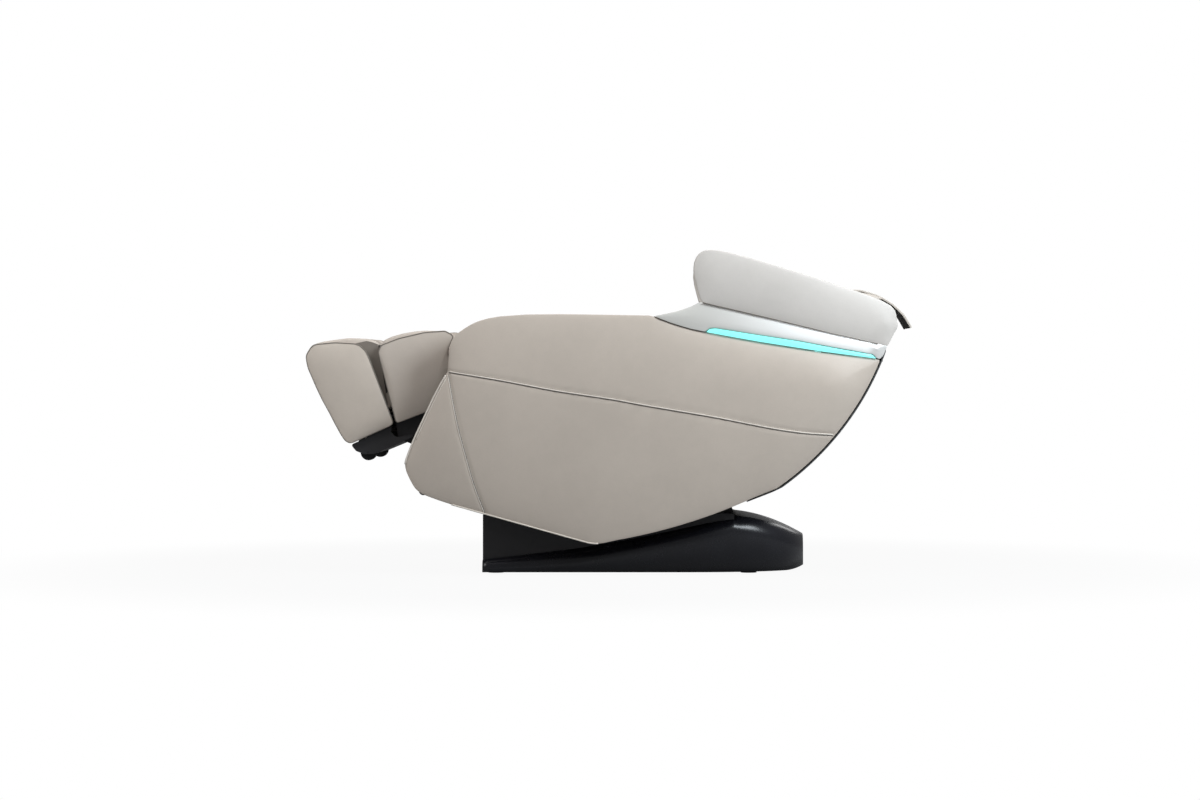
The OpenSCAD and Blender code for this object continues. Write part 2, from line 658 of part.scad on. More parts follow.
module back_cushion() color(LEATHER) on_back() pad(
    0.2, back_len - 8, seat_half + 1, -cushion_t, cushion_t, [-0.7, -0.4, -0.1, 0.2, 0.5], 14,
    -meet, 0, hip.x, head.x - hip.x
);

module knee_roll() color(LEATHER)
    difference() {
        rod_y(knee, knee_roll_r, -leg_half + 32, leg_half - 32);
        rod_y(knee, knee_tube_r + 0.2, -leg_half, leg_half);
        translate([knee.x - 70, -21, knee.y - 80]) cube([140, 42, 70]);
    }

pillow_outline = [
    [520, 672.3], [600, 713.5], [700, 765.4], [785, 809.5], [812, 816], [840, 797], [861, 771], [864, 742], [871, 732],
    [890, 736], [907, 740], [884, 778], [850, 811], [806, 837], [751, 854], [694, 853], [620, 818], [560, 768], [518, 700]
];
module head_pillow() color(PALE)
    crowned_slab(pillow_outline, [575, 750], [806, 824], 140, 16, -140, 16, 0);

// ---------- Arms ----------
trough = [-400, 20];          // where the forearm channel starts and ends
trough_y = [arm_in + 18, arm_out - 16];
trough_z = 690;
arm_top = 762;
pod = [34, 112];              // control pod, along the arm
pod_y = [arm_in + 16, arm_out - 18];
pod_z = [738, 767];
key_share = (pod_y[1] - pod_y[0]) / 57;      // the keys follow the width of their pod

function back_z(x) = hip.y + (x - hip.x) * tan(back_angle);
module arm(right) color(PALE)
    difference() {
        union() {
            across(arm_in, arm_out) polygon(concat(
                chain([[-38, 338], [-462, 628, 8], [-466, 672]], 5),
                [[-466, 672], [-458, 699], [-438, 721], [-408, 739], [-370, 751.5], [-320, 759.5], [-270, arm_top]],
                chain([[-270, arm_top], [110, arm_top, 60], [262, 800]], 5),
                [[262, 798], [420, 772], [468, 762], [468, back_z(468) - 30], hip + [0, -30]]
            ));
            across(arm_in, arm_out - 12) polygon([
                [466, 762], [610, 728], [640, 716], [640, back_z(640) - 20], [466, back_z(466) - 30]
            ]);
        }
        across(trough_y[0], trough_y[1]) polygon(rounded([
            [trough[0], arm_top + 20, 0], [trough[0] + 6, trough_z, 24], [trough[1] - 8, trough_z, 24], [trough[1], arm_top + 20, 0]
        ], 4));
        if (right) translate([pod[0], pod_y[0], pod_z[0]]) cube([pod[1] - pod[0], pod_y[1] - pod_y[0], 60]);
    }
module arm_right() { arm(true); }
module arm_left() { mirror([0, 1, 0]) arm(false); }

// Long airbags on the floor of both forearm channels
module arm_airbags() color(SOFT) both_sides()
    translate([0, (trough_y[0] + trough_y[1]) / 2, trough_z + soft_gap])
        pad(trough[0] + 34, trough[1] - 34, (trough_y[1] - trough_y[0]) / 2 - 4, 0, 16, [-0.5, 0, 0.5], 6);

module valve_block() color(GREY) on_seat() {
    translate([220, 60, -85]) cube([90, 120, 36]);
    for (y = [75 : 18 : 165]) translate([310, y, -67]) rotate([0, 90, 0]) cylinder(r = 4, h = 10);
}

// ---------- Controls ----------
button_x = [50, 50, 82, 82];
button_y = [for (y = [18, 44, 18, 44]) pod_y[0] + key_share * y];
rocker = [30, 16 * key_share, 9];   // a rocker's length, width and height
key_r = button_r * key_share;
rocker_z = pod_z[1] + 1;
module control_panel() color(BLACK)
    difference() {
        translate([pod[0] + 0.3, pod_y[0] + 0.3, pod_z[0]])
            cube([pod[1] - pod[0] - 0.6, pod_y[1] - pod_y[0] - 0.6, pod_z[1] - pod_z[0]]);
        for (i = [0, 1]) translate([button_x[i], button_y[i], pod_z[1] - 12]) cylinder(r = key_r + run_gap, h = 20);
        for (i = [2, 3]) translate([button_x[i] - rocker[0] / 2 + 3, button_y[i] - rocker[1] / 2 - 0.4, pod_z[1] - 13])
            cube([rocker[0] + 1, rocker[1] + 0.8, 20]);
        for (i = [2, 3]) rod_y([rocker_x, rocker_z - 7], 2 + run_gap, button_y[i] - 11 * key_share, button_y[i] + 11 * key_share);
    }
rocker_x = button_x[2] + 3.5;
module button(i) {
    translate([button_x[i], button_y[i], pod_z[1] - 12 + button_travel + 0.3]) cylinder(r = key_r, h = 12.5);
}
module rocker_key(i) {
    translate([rocker_x, button_y[i], rocker_z - 7]) {
        intersection() {
            translate([-rocker[0] / 2 + 0.8, -rocker[1] / 2, -3]) cube([rocker[0] - 1.6, rocker[1], 12]);
            translate([0, 10, -19]) rotate([90, 0, 0]) cylinder(r = 29, h = 20);
        }
        translate([0, -10.5 * key_share, 0]) rotate([-90, 0, 0]) cylinder(r = 2, h = 21 * key_share);
    }
}
module start_button() color("#3fae8b") button(0);
module pause_button() color(SILVER) button(1);
module recline_rocker() color(GREY) rocker_key(2);
module leg_rocker() color(GREY) rocker_key(3);

// ---------- Massage mechanism ----------
knead_n = -132;               // axis of the kneading arms
roller_at = [45, -94];        // a roller's axis: along the back from the arms' axis, and below the surface
roller_y = [62, 92];          // inner and outer face of a roller
car_half = 95;                // half length of the carriage
car_y = 150;                  // inner face of its side plates
stub_r = 6;

module massage_carriage() color(GREY) on_back() translate([travel_mid, 0, 0]) {
    both_sides() {
        difference() {
            translate([-car_half, car_y, -162]) cube([2 * car_half, 6, 66]);
            rod_y([pinion_at, pinion_n], stub_r + run_gap, car_y - 1, car_y + 7);
        }
        for (x = [-80, 60]) translate([x, car_y + 5, rail_n[0] + 3.4]) cube([20, rail_out - 3.4 - car_y - 5, 23.2]);
    }
    for (x = [-car_half + 4, car_half - 20]) translate([x, -car_y - 1, -163]) cube([16, 2 * car_y + 2, 14]);
    rod_y([0, knead_n], knead_axle_r, -car_y - 1, car_y + 1);
    translate([-60, 0, -162]) cylinder(r = 26, h = 30);
    translate([-car_half + 8, -30, -162]) cube([60, 60, 8]);
    translate([48, 0, -162]) cylinder(r = 22, h = 28);
    translate([30, -24, -162]) cube([60, 48, 8]);
}

module travel_pinions() color(STEEL) on_back() translate([rack_mid, 0, pinion_n]) {
    rod_y([0, 0], stub_r, -rail_out, rail_out);
    both_sides() translate([0, rail_out, 0]) rotate([90, 0, 0]) linear_extrude(14) polygon([
        for (k = [0 : pinion_teeth - 1])
        let (a = 90 + k * 360 / pinion_teeth, w = 360 / pinion_teeth)
        each [
            for (c = [[-0.19, -1.2], [-0.08, 1.5], [0.08, 1.5], [0.19, -1.2]])
            (pinion_r + c[1]) * [cos(a + w * c[0]), sin(a + w * c[0])]
        ]
    ]);
}

module knead_arm() {
    difference() {
        union() {
            across(roller_y[0] - 10, roller_y[0] - 2) {
                bar([0, 0], [roller_at.x, roller_at.y - knead_n], 11);
                bar([0, 0], [-roller_at.x, roller_at.y - knead_n], 11);
                circle(knead_axle_r + 9);
            }
            rod_y([0, 0], knead_axle_r + 8, roller_y[0] - 30, roller_y[0] - 3);
            for (x = [-1, 1]) {
                rod_y([x * roller_at.x, roller_at.y - knead_n], stub_r, roller_y[0] - 3, roller_y[1] + 1);
                rod_y([x * roller_at.x, roller_at.y - knead_n], 10, roller_y[1] + 0.5, roller_y[1] + 4);
            }
        }
        rod_y([0, 0], knead_axle_r + run_gap, roller_y[0] - 40, roller_y[0] + 10);
    }
}
module on_knead() { on_back() translate([travel_mid, 0, knead_n]) children(); }
module knead_arm_right() color(STEEL) on_knead() knead_arm();
module knead_arm_left() color(STEEL) mirror([0, 1, 0]) on_knead() knead_arm();

// A kneading roller with soft ribs round it
module roller(way) color(SOFT) on_knead() translate([way * roller_at.x, 0, roller_at.y - knead_n])
    difference() {
        union() {
            rod_y([0, 0], roller_r - 3, roller_y[0], roller_y[1]);
            rod_y([0, 0], roller_r, roller_y[0] + 5, roller_y[1] - 5);
        }
        rod_y([0, 0], stub_r + run_gap, roller_y[0] - 1, roller_y[1] + 1);
    }
module roller_upper_right() { roller(1); }
module roller_lower_right() { roller(-1); }
module roller_upper_left() { mirror([0, 1, 0]) roller(1); }
module roller_lower_left() { mirror([0, 1, 0]) roller(-1); }

// ---------- Leg rest ----------
ear = [leg_half - 29, leg_half - 23];        // inner and outer face of the leg frame's side plates
lift_lag = 240;               // direction of the lifting crank from the knee tube
lift_pin = knee + lift_crank * [cos(lift_lag), sin(lift_lag)];
guide_y = ear[0] - 21;
guide_n = -78;
guide_wall = 5;
under_n = -100;               // underside of both frames

module leg_frame() color(STEEL) {
    both_sides() difference() {
        across(ear[0], ear[1]) {
            circle_at(knee, 24);
            bar(knee, leg_point(-110, -50), 20);
            bar(leg_point(-100, guide_n), leg_point(-250, guide_n), 22);
            bar(leg_point(-110, -50), leg_point(-100, guide_n), 22);
        }
        rod_y(knee, knee_tube_r + run_gap, ear[0] - 1, ear[1] + 1);
    }
    both_sides() on_leg() {
        difference() {
            union() {
                translate([-268, guide_y, guide_n]) rotate([0, 90, 0]) cylinder(r = guide_rod_r + guide_wall, h = 193);
                for (x = [-255, -115]) translate([x, guide_y, guide_n - 8]) cube([24, ear[0] - guide_y + 1, 16]);
            }
            translate([-270, guide_y, guide_n]) rotate([0, 90, 0]) cylinder(r = guide_rod_r + run_gap, h = 200);
        }
    }
    for (x = [-112, -240]) on_leg() rod_y([x, guide_n], 11, -guide_y + guide_rod_r + 3, guide_y - guide_rod_r - 3);
    both_sides() across(11, 18) bar(leg_point(-112, guide_n), lift_pin, 14);
    rod_y(lift_pin, pin_r, -18, 18);
}

module calf_shells() color(LEATHER) both_sides()
    crowned_slab(calf_outline, [-650, 565], [-520, 600], leg_half - 9, 9, ear[1], 0);

// Heights of the calf and foot padding along the leg, above the knee line
calf_rim = [[-62, 98], [-90, 112], [-123, 124], [-158, 133], [-190, 138], [-214, 138], [-227, 132], [-237, 120], [-242, 108]];
foot_rim = [
    [-238, 138], [-247, 151], [-262, 163], [-285, 175], [-312, 188], [-347, 199], [-381, 209], [-405, 213], [-419, 212],
    [-424, 210], [-433, 203], [-441, 188]
];
function calf_slant(x) = -0.13 * pow((x + 62) / 180, 4);
function foot_slant(x) = -0.27 * max(0, (x + 345) / 107);
leg_low = -50;                // underside of the padding

// Height of the padding at y: a rim, a middle ridge and two wells down to the floor
function well_shape(y) = 1 - pow(max(0, 1 - pow(abs(abs(y) - well_y) / well_r, 3)), 0.6);
function leg_ring(x, high, floor_n, depth, slant, half, cols) = concat(
    [
        for (k = [0 : cols])
        let (
            y = half * (1 - 2 * k / cols),
            rim = high - (abs(y) > half - 8 ? 6 : 0) - (abs(y) < 30 ? 16 : 0),
            n = depth ? mix(floor_n, rim, well_shape(y)) : rim
        )
        [x + slant * (high - n), y, n]
    ],
    [[x + slant * (high - leg_low), -half + 0.05, leg_low], [x + slant * (high - leg_low), half - 0.05, leg_low]]
);

// The calf piece's rings have a groove underneath, which the crank of the actuator swings in
function calf_ring(x, high, slant) =
    let (ring = leg_ring(x, high, 0, true, slant, ear[0] - soft_gap, 32), m = len(ring))
    concat(
        [for (i = [0 : m - 2]) ring[i]],
        [for (q = [[-25, leg_low], [-25, -10], [25, -10], [25, leg_low]]) [x + slant * (high - q.y), q.x, q.y]],
        [ring[m - 1]]
    );

module calf_cushion() color(PALE) on_leg()
    loft([for (p = calf_rim) calf_ring(p.x, p.y, calf_slant(p.x))]);

module leg_underpan() color(BLACK) on_leg()
    difference() {
        translate([-282, -ear[0], under_n - 3]) cube([132, 2 * ear[0], 3]);
        for (y = [-150 : 60 : 150]) translate([-260, y - 4, under_n - 4]) cube([80, 8, 5]);
    }

// ---------- Leg rest actuator ----------
lift_len = norm(lift_pin - lift_anchor);
lift_dir = atan2(lift_pin.y - lift_anchor.y, lift_pin.x - lift_anchor.x);
module lift_drive() { translate([lift_anchor.x, 0, lift_anchor.y]) rotate([0, -lift_dir, 0]) children(); }
module lift_actuator_body() color(BLACK) lift_drive() actuator_body(12, 20, 270, 10, 46);
module lift_actuator_rod() color(STEEL) lift_drive() actuator_rod(120, lift_len, 10, 8);

// ---------- Foot rest ----------
foot_axle = [-400, -149];     // axle of the wheels, in the leg's frame
foot_axle_r = 3;
foot_roller_at = [-418, 60];

module foot_frame() color(STEEL) {
    both_sides() difference() {
        across(ear[0], ear[1]) {
            bar(leg_point(-312, guide_n), leg_point(-420, guide_n), 20);
            bar(leg_point(-418, guide_n), leg_point(-418, 110), 14);
        }
        on_leg() rod_y(foot_roller_at, stub_r + run_gap, ear[0] - 1, ear[1] + 1);
    }
    both_sides() on_leg() {
        translate([-430, guide_y, guide_n]) rotate([0, 90, 0]) cylinder(r = guide_rod_r, h = 430 - 78);
        translate([-434, guide_y - 12, guide_n - 12]) cube([16, ear[0] - guide_y + 13, 24]);
    }
    on_leg() translate([-434, -guide_y + 8, guide_n - 12]) cube([16, 2 * guide_y - 16, 24]);
    both_sides() on_leg() for (x = [-410, -340]) translate([x, ear[1] - 13, guide_n - 46]) cube([20, 10, 50]);
}

module foot_shells() color(LEATHER) both_sides()
    crowned_slab(foot_outline, [-800, 610], [-725, 470], leg_half - 9, 9, ear[1], 0);

// The foot piece's rings have a point underneath for each one on top
function foot_ring(x, high, slant) =
    let (ring = leg_ring(x, high, -6, x > -421, slant, ear[0] - soft_gap, 32), m = len(ring) - 2)
    concat(
        [for (i = [0 : m - 1]) [ring[i].x, -ring[i].y, ring[i].z]],
        [for (i = [m - 1 : -1 : 0]) [x + slant * (high - leg_low), -ring[i].y * 0.9998, leg_low]]
    );

module foot_cushion() color(PALE) difference() {
    on_leg() loft([
        for (i = [len(foot_rim) - 1 : -1 : 0]) foot_ring(foot_rim[i].x, foot_rim[i].y, foot_slant(foot_rim[i].x))
    ], strips = true);
    on_leg() rod_y(foot_roller_at, 20, -ear[0] + 6, ear[0] - 6);
    on_leg() rod_y(foot_roller_at, stub_r + 1, -ear[0] - 1, ear[0] + 1);
}

module foot_sled() color(BLACK) difference() {
    across(-ear[1], ear[1]) polygon(sled_outline);
    across(-ear[1] + 3, ear[1] - 3) polygon([
        [-662, 446], [-778, 398], [-779, 388], [-765, 369.5], [-745, 360], [-715, 360], [-641, 391],
        [-612, 407], [-649, 404], [-668, 422]
    ]);
    both_sides() on_leg() translate([foot_axle.x - 28, 166, foot_axle.y - 30]) cube([56, 38, 60]);
    on_leg() translate([foot_axle.x - 4, -ear[1] + 4, foot_axle.y - 12]) cube([8, 2 * ear[1] - 8, 16]);
    on_leg() rod_y(foot_axle, foot_axle_r + run_gap, -ear[1] - 1, ear[1] + 1);
}

module foot_wheels() color(RUBBER) on_leg() {
    rod_y(foot_axle, foot_axle_r, -ear[1] + 1, ear[1] - 1);
    both_sides() rod_y(foot_axle, foot_wheel_r, 170, 200);
}

module foot_roller() color(SOFT) on_leg() {
    rod_y(foot_roller_at, stub_r, -ear[1], ear[1]);
    both_sides() for (y = [well_y - 32, well_y + 6]) rod_y(foot_roller_at, 17, y, y + 26);
}

base_frame();
base_box_cover();
base_skirt();
rubber_feet();
slide_rails();
power_unit();
power_inlet();
power_switch();
air_pump();
control_board();
transport_wheels();
carriage_frame();
tilt_actuator_body();
tilt_actuator_rod();
seat_frame();
cross_tubes();
shell_hoops();
tilt_shaft();
massage_rails();
side_panel_left();
side_panel_right();
shoulder_trims();
light_strips();
wing_left();
wing_right();
back_cover();
seat_underpan();
seat_cushion();
knee_roll();
back_cushion();
head_pillow();
arm_left();
arm_right();
arm_airbags();
valve_block();
control_panel();
start_button();
pause_button();
recline_rocker();
leg_rocker();
massage_carriage();
travel_pinions();
knead_arm_left();
knead_arm_right();
roller_upper_left();
roller_lower_left();
roller_upper_right();
roller_lower_right();
leg_frame();
calf_shells();
calf_cushion();
leg_underpan();
lift_actuator_body();
lift_actuator_rod();
foot_frame();
foot_shells();
foot_cushion();
foot_sled();
foot_roller();
foot_wheels();
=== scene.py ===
"""Dresses the massage chair: leather, trims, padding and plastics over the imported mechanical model."""

import math

import bmesh
import bpy
import numpy as np
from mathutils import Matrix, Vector
from mathutils.bvhtree import BVHTree


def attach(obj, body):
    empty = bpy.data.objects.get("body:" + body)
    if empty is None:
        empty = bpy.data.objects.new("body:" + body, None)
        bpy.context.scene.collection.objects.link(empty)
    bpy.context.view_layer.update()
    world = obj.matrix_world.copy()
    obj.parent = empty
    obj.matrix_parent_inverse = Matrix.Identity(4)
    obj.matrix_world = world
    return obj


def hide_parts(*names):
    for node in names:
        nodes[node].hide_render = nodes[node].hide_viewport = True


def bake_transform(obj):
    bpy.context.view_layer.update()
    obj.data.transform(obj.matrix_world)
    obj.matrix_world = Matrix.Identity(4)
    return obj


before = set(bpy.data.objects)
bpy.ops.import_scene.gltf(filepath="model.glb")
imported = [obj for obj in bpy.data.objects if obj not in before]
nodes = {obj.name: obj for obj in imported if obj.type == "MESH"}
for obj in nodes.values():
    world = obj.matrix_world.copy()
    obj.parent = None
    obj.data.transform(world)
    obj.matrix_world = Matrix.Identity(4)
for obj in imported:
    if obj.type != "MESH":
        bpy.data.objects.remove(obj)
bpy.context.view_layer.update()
MM = 0.001


# ---------------------------------------------------------------- finishes
# Sockets of a colour Mix node, and of a Wave node's height, by their place
MIX_SHARE, MIX_FIRST, MIX_SECOND, MIX_COLOUR = 0, 6, 7, 2
WAVE_HEIGHT = 1


class Wire:
    """A shader socket that takes part in plain arithmetic."""

    def __init__(self, finish, socket):
        self.finish = finish
        self.socket = socket

    def maths(self, operation, first, second):
        return self.finish.node("ShaderNodeMath", {"operation": operation}, {0: first, 1: second})

    def __add__(self, other):
        return self.maths("ADD", self, other)

    def __sub__(self, other):
        return self.maths("SUBTRACT", self, other)

    def __rsub__(self, other):
        return self.maths("SUBTRACT", other, self)

    def __mul__(self, other):
        return self.maths("MULTIPLY", self, other)

    __radd__ = __add__
    __rmul__ = __mul__

    def ramp(self, low, high):
        """0 at low, 1 at high, smooth between."""
        return self.finish.node(
            "ShaderNodeMapRange",
            {"interpolation_type": "SMOOTHSTEP"},
            {"Value": self, "From Min": low, "From Max": high, "To Min": 0.0, "To Max": 1.0},
        )


class Finish:
    """One procedural material, which also keeps a slot name."""

    def __init__(self, name, slot, colour, roughness=0.5, metallic=0.0, **sockets):
        self.slot = slot
        self.material = bpy.data.materials.new(name)
        self.material.use_nodes = True
        self.tree = self.material.node_tree
        self.shader = self.tree.nodes["Principled BSDF"]
        self.put("Base Color", (*colour, 1.0))
        self.put("Roughness", roughness)
        self.put("Metallic", metallic)
        for key, value in sockets.items():
            self.put(key.replace("_", " "), value)
        self.material.diffuse_color = (*colour, 1.0)

    def feed(self, socket, value):
        if isinstance(value, Wire):
            self.tree.links.new(value.socket, socket)
        else:
            socket.default_value = value

    def put(self, key, value):
        self.feed(self.shader.inputs[key], value)

    def node(self, kind, settings=None, values=None, output=0):
        made = self.tree.nodes.new(kind)
        for key, value in (settings or {}).items():
            setattr(made, key, value)
        for key, value in (values or {}).items():
            self.feed(made.inputs[key], value)
        return Wire(self, made.outputs[output])

    def place(self, stretch=(1.0, 1.0, 1.0)):
        here = self.node("ShaderNodeTexCoord", output="Object")
        return self.node("ShaderNodeMapping", {}, {"Vector": here, "Scale": stretch})

    def noise(self, at, scale, detail=2.0, roughness=0.5):
        values = {"Vector": at, "Scale": scale, "Detail": detail, "Roughness": roughness}
        return self.node("ShaderNodeTexNoise", {}, values)

    def cells(self, at, scale):
        return self.node("ShaderNodeTexVoronoi", {}, {"Vector": at, "Scale": scale})

    def wave(self, at, scale, way):
        values = {"Vector": at, "Scale": scale}
        return self.node("ShaderNodeTexWave", {"bands_direction": way}, values, WAVE_HEIGHT)

    def axis(self, which):
        here = self.node("ShaderNodeTexCoord", output="Object")
        return self.node("ShaderNodeSeparateXYZ", {}, {"Vector": here}, output=which)

    def blend(self, share, first, second):
        """A mix of two colours, each a wire or three numbers."""
        first, second = (c if isinstance(c, Wire) else (*c, 1.0) for c in (first, second))
        values = {MIX_SHARE: share, MIX_FIRST: first, MIX_SECOND: second}
        return self.node("ShaderNodeMix", {"data_type": "RGBA"}, values, MIX_COLOUR)

    def bump(self, height, strength, distance):
        values = {"Height": height, "Strength": strength, "Distance": distance}
        self.put("Normal", self.node("ShaderNodeBump", {}, values))


def shade(colour, by):
    return tuple(min(1.0, c * by) for c in colour)


def leather(name, slot, colour, roughness=0.47, creases=0.0):
    """Pebbled leather, cloudy in tone and a little worn, with long creases where it is soft."""
    f = Finish(name, slot, colour, roughness)
    at = f.place()
    pebbles = f.cells(at, 620.0)
    pores = f.noise(at, 1500.0, 3.0)
    cloud = f.noise(at, 5.0, 3.0)
    wear = f.noise(at, 38.0, 4.0, 0.6)
    tone = cloud * 0.6 + wear * 0.4
    base = f.blend(tone.ramp(0.3, 0.7), shade(colour, 0.965), shade(colour, 1.03))
    f.put("Base Color", f.blend(pebbles.ramp(0.55, 0.95) * 0.35, base, shade(colour, 0.86)))
    f.put("Roughness", wear * 0.16 + (roughness - 0.08))
    height = (1.0 - pebbles) * 0.7 + pores * 0.3
    if creases:
        folds = f.noise(f.place((1.0, 0.35, 1.0)), 46.0, 4.0, 0.55)
        height = height + folds * creases
    f.bump(height, 0.35, 0.0004)
    return f


def moulded(name, slot, colour, roughness, grain=2200.0, depth=0.00015, strength=0.3, **sockets):
    """Plastic or rubber with a fine grain and a faint haze."""
    f = Finish(name, slot, colour, roughness, **sockets)
    at = f.place()
    spark = f.noise(at, grain, 2.0)
    haze = f.noise(at, 14.0, 3.0)
    f.put("Base Color", f.blend(haze.ramp(0.3, 0.75), shade(colour, 0.92), shade(colour, 1.12)))
    f.put("Roughness", haze * 0.1 + (roughness - 0.05))
    f.bump(spark, strength, depth)
    return f


def brushed(name, slot, colour, roughness):
    """Bare metal with fine lines along the chair."""
    f = Finish(name, slot, colour, roughness, 1.0)
    lines = f.noise(f.place((1.0, 40.0, 40.0)), 30.0, 3.0)
    smut = f.noise(f.place(), 9.0, 3.0)
    f.put("Base Color", f.blend(smut.ramp(0.35, 0.7), shade(colour, 0.85), colour))
    f.put("Roughness", lines * 0.16 + (roughness - 0.08))
    f.bump(lines, 0.12, 0.0002)
    return f


def enamelled(name, slot, colour, roughness=0.42):
    """Sprayed enamel with a slight peel, rubbed lighter in places."""
    f = Finish(name, slot, colour, roughness)
    peel = f.noise(f.place(), 420.0, 2.0)
    rub = f.noise(f.place(), 22.0, 4.0, 0.65)
    f.put("Base Color", f.blend(rub.ramp(0.55, 0.8) * 0.5, colour, shade(colour, 1.9)))
    f.put("Roughness", rub * 0.18 + (roughness - 0.09))
    f.bump(peel, 0.25, 0.0003)
    return f


def woven(name, slot, colour, threads=900.0):
    """Plain cloth with so many threads to the metre each way."""
    f = Finish(name, slot, colour, 0.8)
    weft, warp = (f.wave(f.place(), threads / 6.3, way) for way in "XY")
    cloth = weft * warp
    fade = f.noise(f.place(), 18.0, 3.0)
    f.put("Base Color", f.blend(cloth * 0.5 + fade * 0.4, shade(colour, 0.75), shade(colour, 1.15)))
    f.bump(cloth, 0.5, 0.0003)
    return f


TAUPE = leather("taupe leather", "leather_taupe", (0.465, 0.405, 0.35))
PALE = leather("greige leather", "leather_pale", (0.50, 0.44, 0.385), 0.5, creases=0.5)
WING = leather("pale leather", "leather_wing", (0.53, 0.497, 0.465), 0.5)
PILLOW = leather("pillow leather", "leather_pale", (0.44, 0.395, 0.35), 0.5, creases=0.5)
FOOT = leather("foot leather", "leather_taupe", (0.54, 0.475, 0.412))
# Near-black leather for beads that are painted shade: under the seam welts, and in the gaps round the trims
# and wings
SEAM_SHADOW = leather("seam shadow", "leather_taupe", (0.115, 0.10, 0.088), 0.6)
# Dark brown leather for the edge piping, and for the plates of painted shade beside the foot pad
PIPING_AND_SHADE = leather("piping leather", "leather_taupe", (0.20, 0.175, 0.15), 0.55)
WELT = leather("welt leather", "leather_taupe", (0.61, 0.555, 0.495), 0.45)
# Near-black lining cloth: its own dark colour, and under the pillow flap also painted shade
LINING_AND_SHADE = woven("lining cloth", "airbag", (0.10, 0.09, 0.08))
AIRBAG = woven("airbag cloth", "airbag", (0.25, 0.22, 0.19))
REAR = moulded("rear shell", "black_plastic", (0.045, 0.044, 0.045), 0.55, grain=900.0, depth=0.0003)
SATIN = moulded(
    "satin black", "black_gloss", (0.008, 0.008, 0.011), 0.27, grain=3000.0, depth=0.00004, strength=0.2,
    Specular_IOR_Level=0.4,
)
MATTE = moulded("matte black", "black_plastic", (0.016, 0.015, 0.017), 0.6)
GREYPL = moulded("dark grey plastic", "grey_plastic", (0.075, 0.075, 0.08), 0.5)
BOARD = moulded("circuit board", "board", (0.01, 0.1, 0.04), 0.45)
GREEN = moulded("green button", "button_green", (0.05, 0.42, 0.26), 0.3)
STEEL = brushed("bright steel", "steel", (0.62, 0.62, 0.63), 0.3)
ENAMEL = enamelled("black enamel", "black_steel", (0.022, 0.022, 0.024))
coarse = {"grain": 700.0, "depth": 0.0003, "strength": 0.5}
RUBBER = moulded("rubber", "rubber", (0.016, 0.016, 0.017), 0.82, **coarse)
ROLLER = moulded("roller rubber", "roller_soft", (0.28, 0.24, 0.20), 0.7, **coarse)
THREAD = moulded("thread", "leather_taupe", (0.60, 0.55, 0.49), 0.7)


def silver_finish():
    f = Finish("satin silver", "silver_trim", (0.72, 0.70, 0.665), 0.33, 0.15)
    along = f.axis("X")
    flakes = f.noise(f.place(), 2600.0, 2.0)
    # Painted reflection: the trim's colour brightens from grey to near white along its length towards the
    # rear, and falls back to grey at its rear tip
    light = f.blend(along.ramp(0.22, 0.62), (0.62, 0.605, 0.57), (0.97, 0.965, 0.95))
    light = f.blend(along.ramp(0.755, 0.785), light, (0.60, 0.59, 0.57))
    f.put("Base Color", f.blend(flakes.ramp(0.4, 0.7) * 0.12, light, (0.45, 0.44, 0.42)))
    f.put("Roughness", f.noise(f.place(), 20.0, 2.0) * 0.08 + 0.3)
    f.bump(flakes, 0.1, 0.0001)
    return f


def light_finish():
    f = Finish("lit diffuser", "light", (0.05, 0.2, 0.19), 0.35)
    grain = f.noise(f.place(), 60.0, 2.0)
    f.put("Emission Color", f.blend(grain.ramp(0.3, 0.7), (0.285, 0.97, 0.92), (0.31, 1.0, 0.96)))
    f.put("Emission Strength", 1.0)
    return f


SILVER = silver_finish()
LIGHT = light_finish()


# ---------------------------------------------------------------- the side plane, in millimetres
def V2(*p):
    return np.array(p, float)


# The seat line runs from the knee down to the hip, and the back line from there to the head
knee, hip, head = V2(-431, 663), V2(-38, 382), V2(808, 821)
seat_angle = math.atan2(knee[1] - hip[1], hip[0] - knee[0])
back_angle = math.atan2(head[1] - hip[1], head[0] - hip[0])
leg_angle = math.radians(24.5)
seat_len, back_len = np.linalg.norm(hip - knee), np.linalg.norm(head - hip)
# From the middle outwards: the panels' rim, inner face and crown, the arms, and the leg rest's side plates
rim_y, inner_y, crown_y = 361.0, 350.0, 24.0
arm_in, arm_out = 258.0, 349.0
plate_in, plate_out = 221.0, 227.0
# The panels' rear and lower edges are arcs, and the rear shell stands proud of the first by its lip
rear_centre, rear_r, rear_lip = V2(2, 968), 861.0, 7.5
under_centre, under_r = V2(-270, 1747), 1666.0
narrow_from, narrow_run, narrow_by = 470, 390, 32


def narrow(x):
    """How far the sides draw in towards the head."""
    x = np.asarray(x)
    return np.where(x < narrow_from, 0.0, narrow_by * ((x - narrow_from) / narrow_run) ** 2)


def frame_of(origin, angle):
    """Turns (along, across, out) into chair coordinates; angle is the rise of the along direction."""
    c, s = math.cos(angle), math.sin(angle)

    def to_chair(p):
        along, over, out = np.moveaxis(np.asarray(p, float), -1, 0)
        return np.stack([origin[0] + along * c - out * s, over, origin[1] + along * s + out * c], -1)

    return to_chair


on_seat, on_back, on_leg = frame_of(knee, -seat_angle), frame_of(hip, back_angle), frame_of(knee, leg_angle)


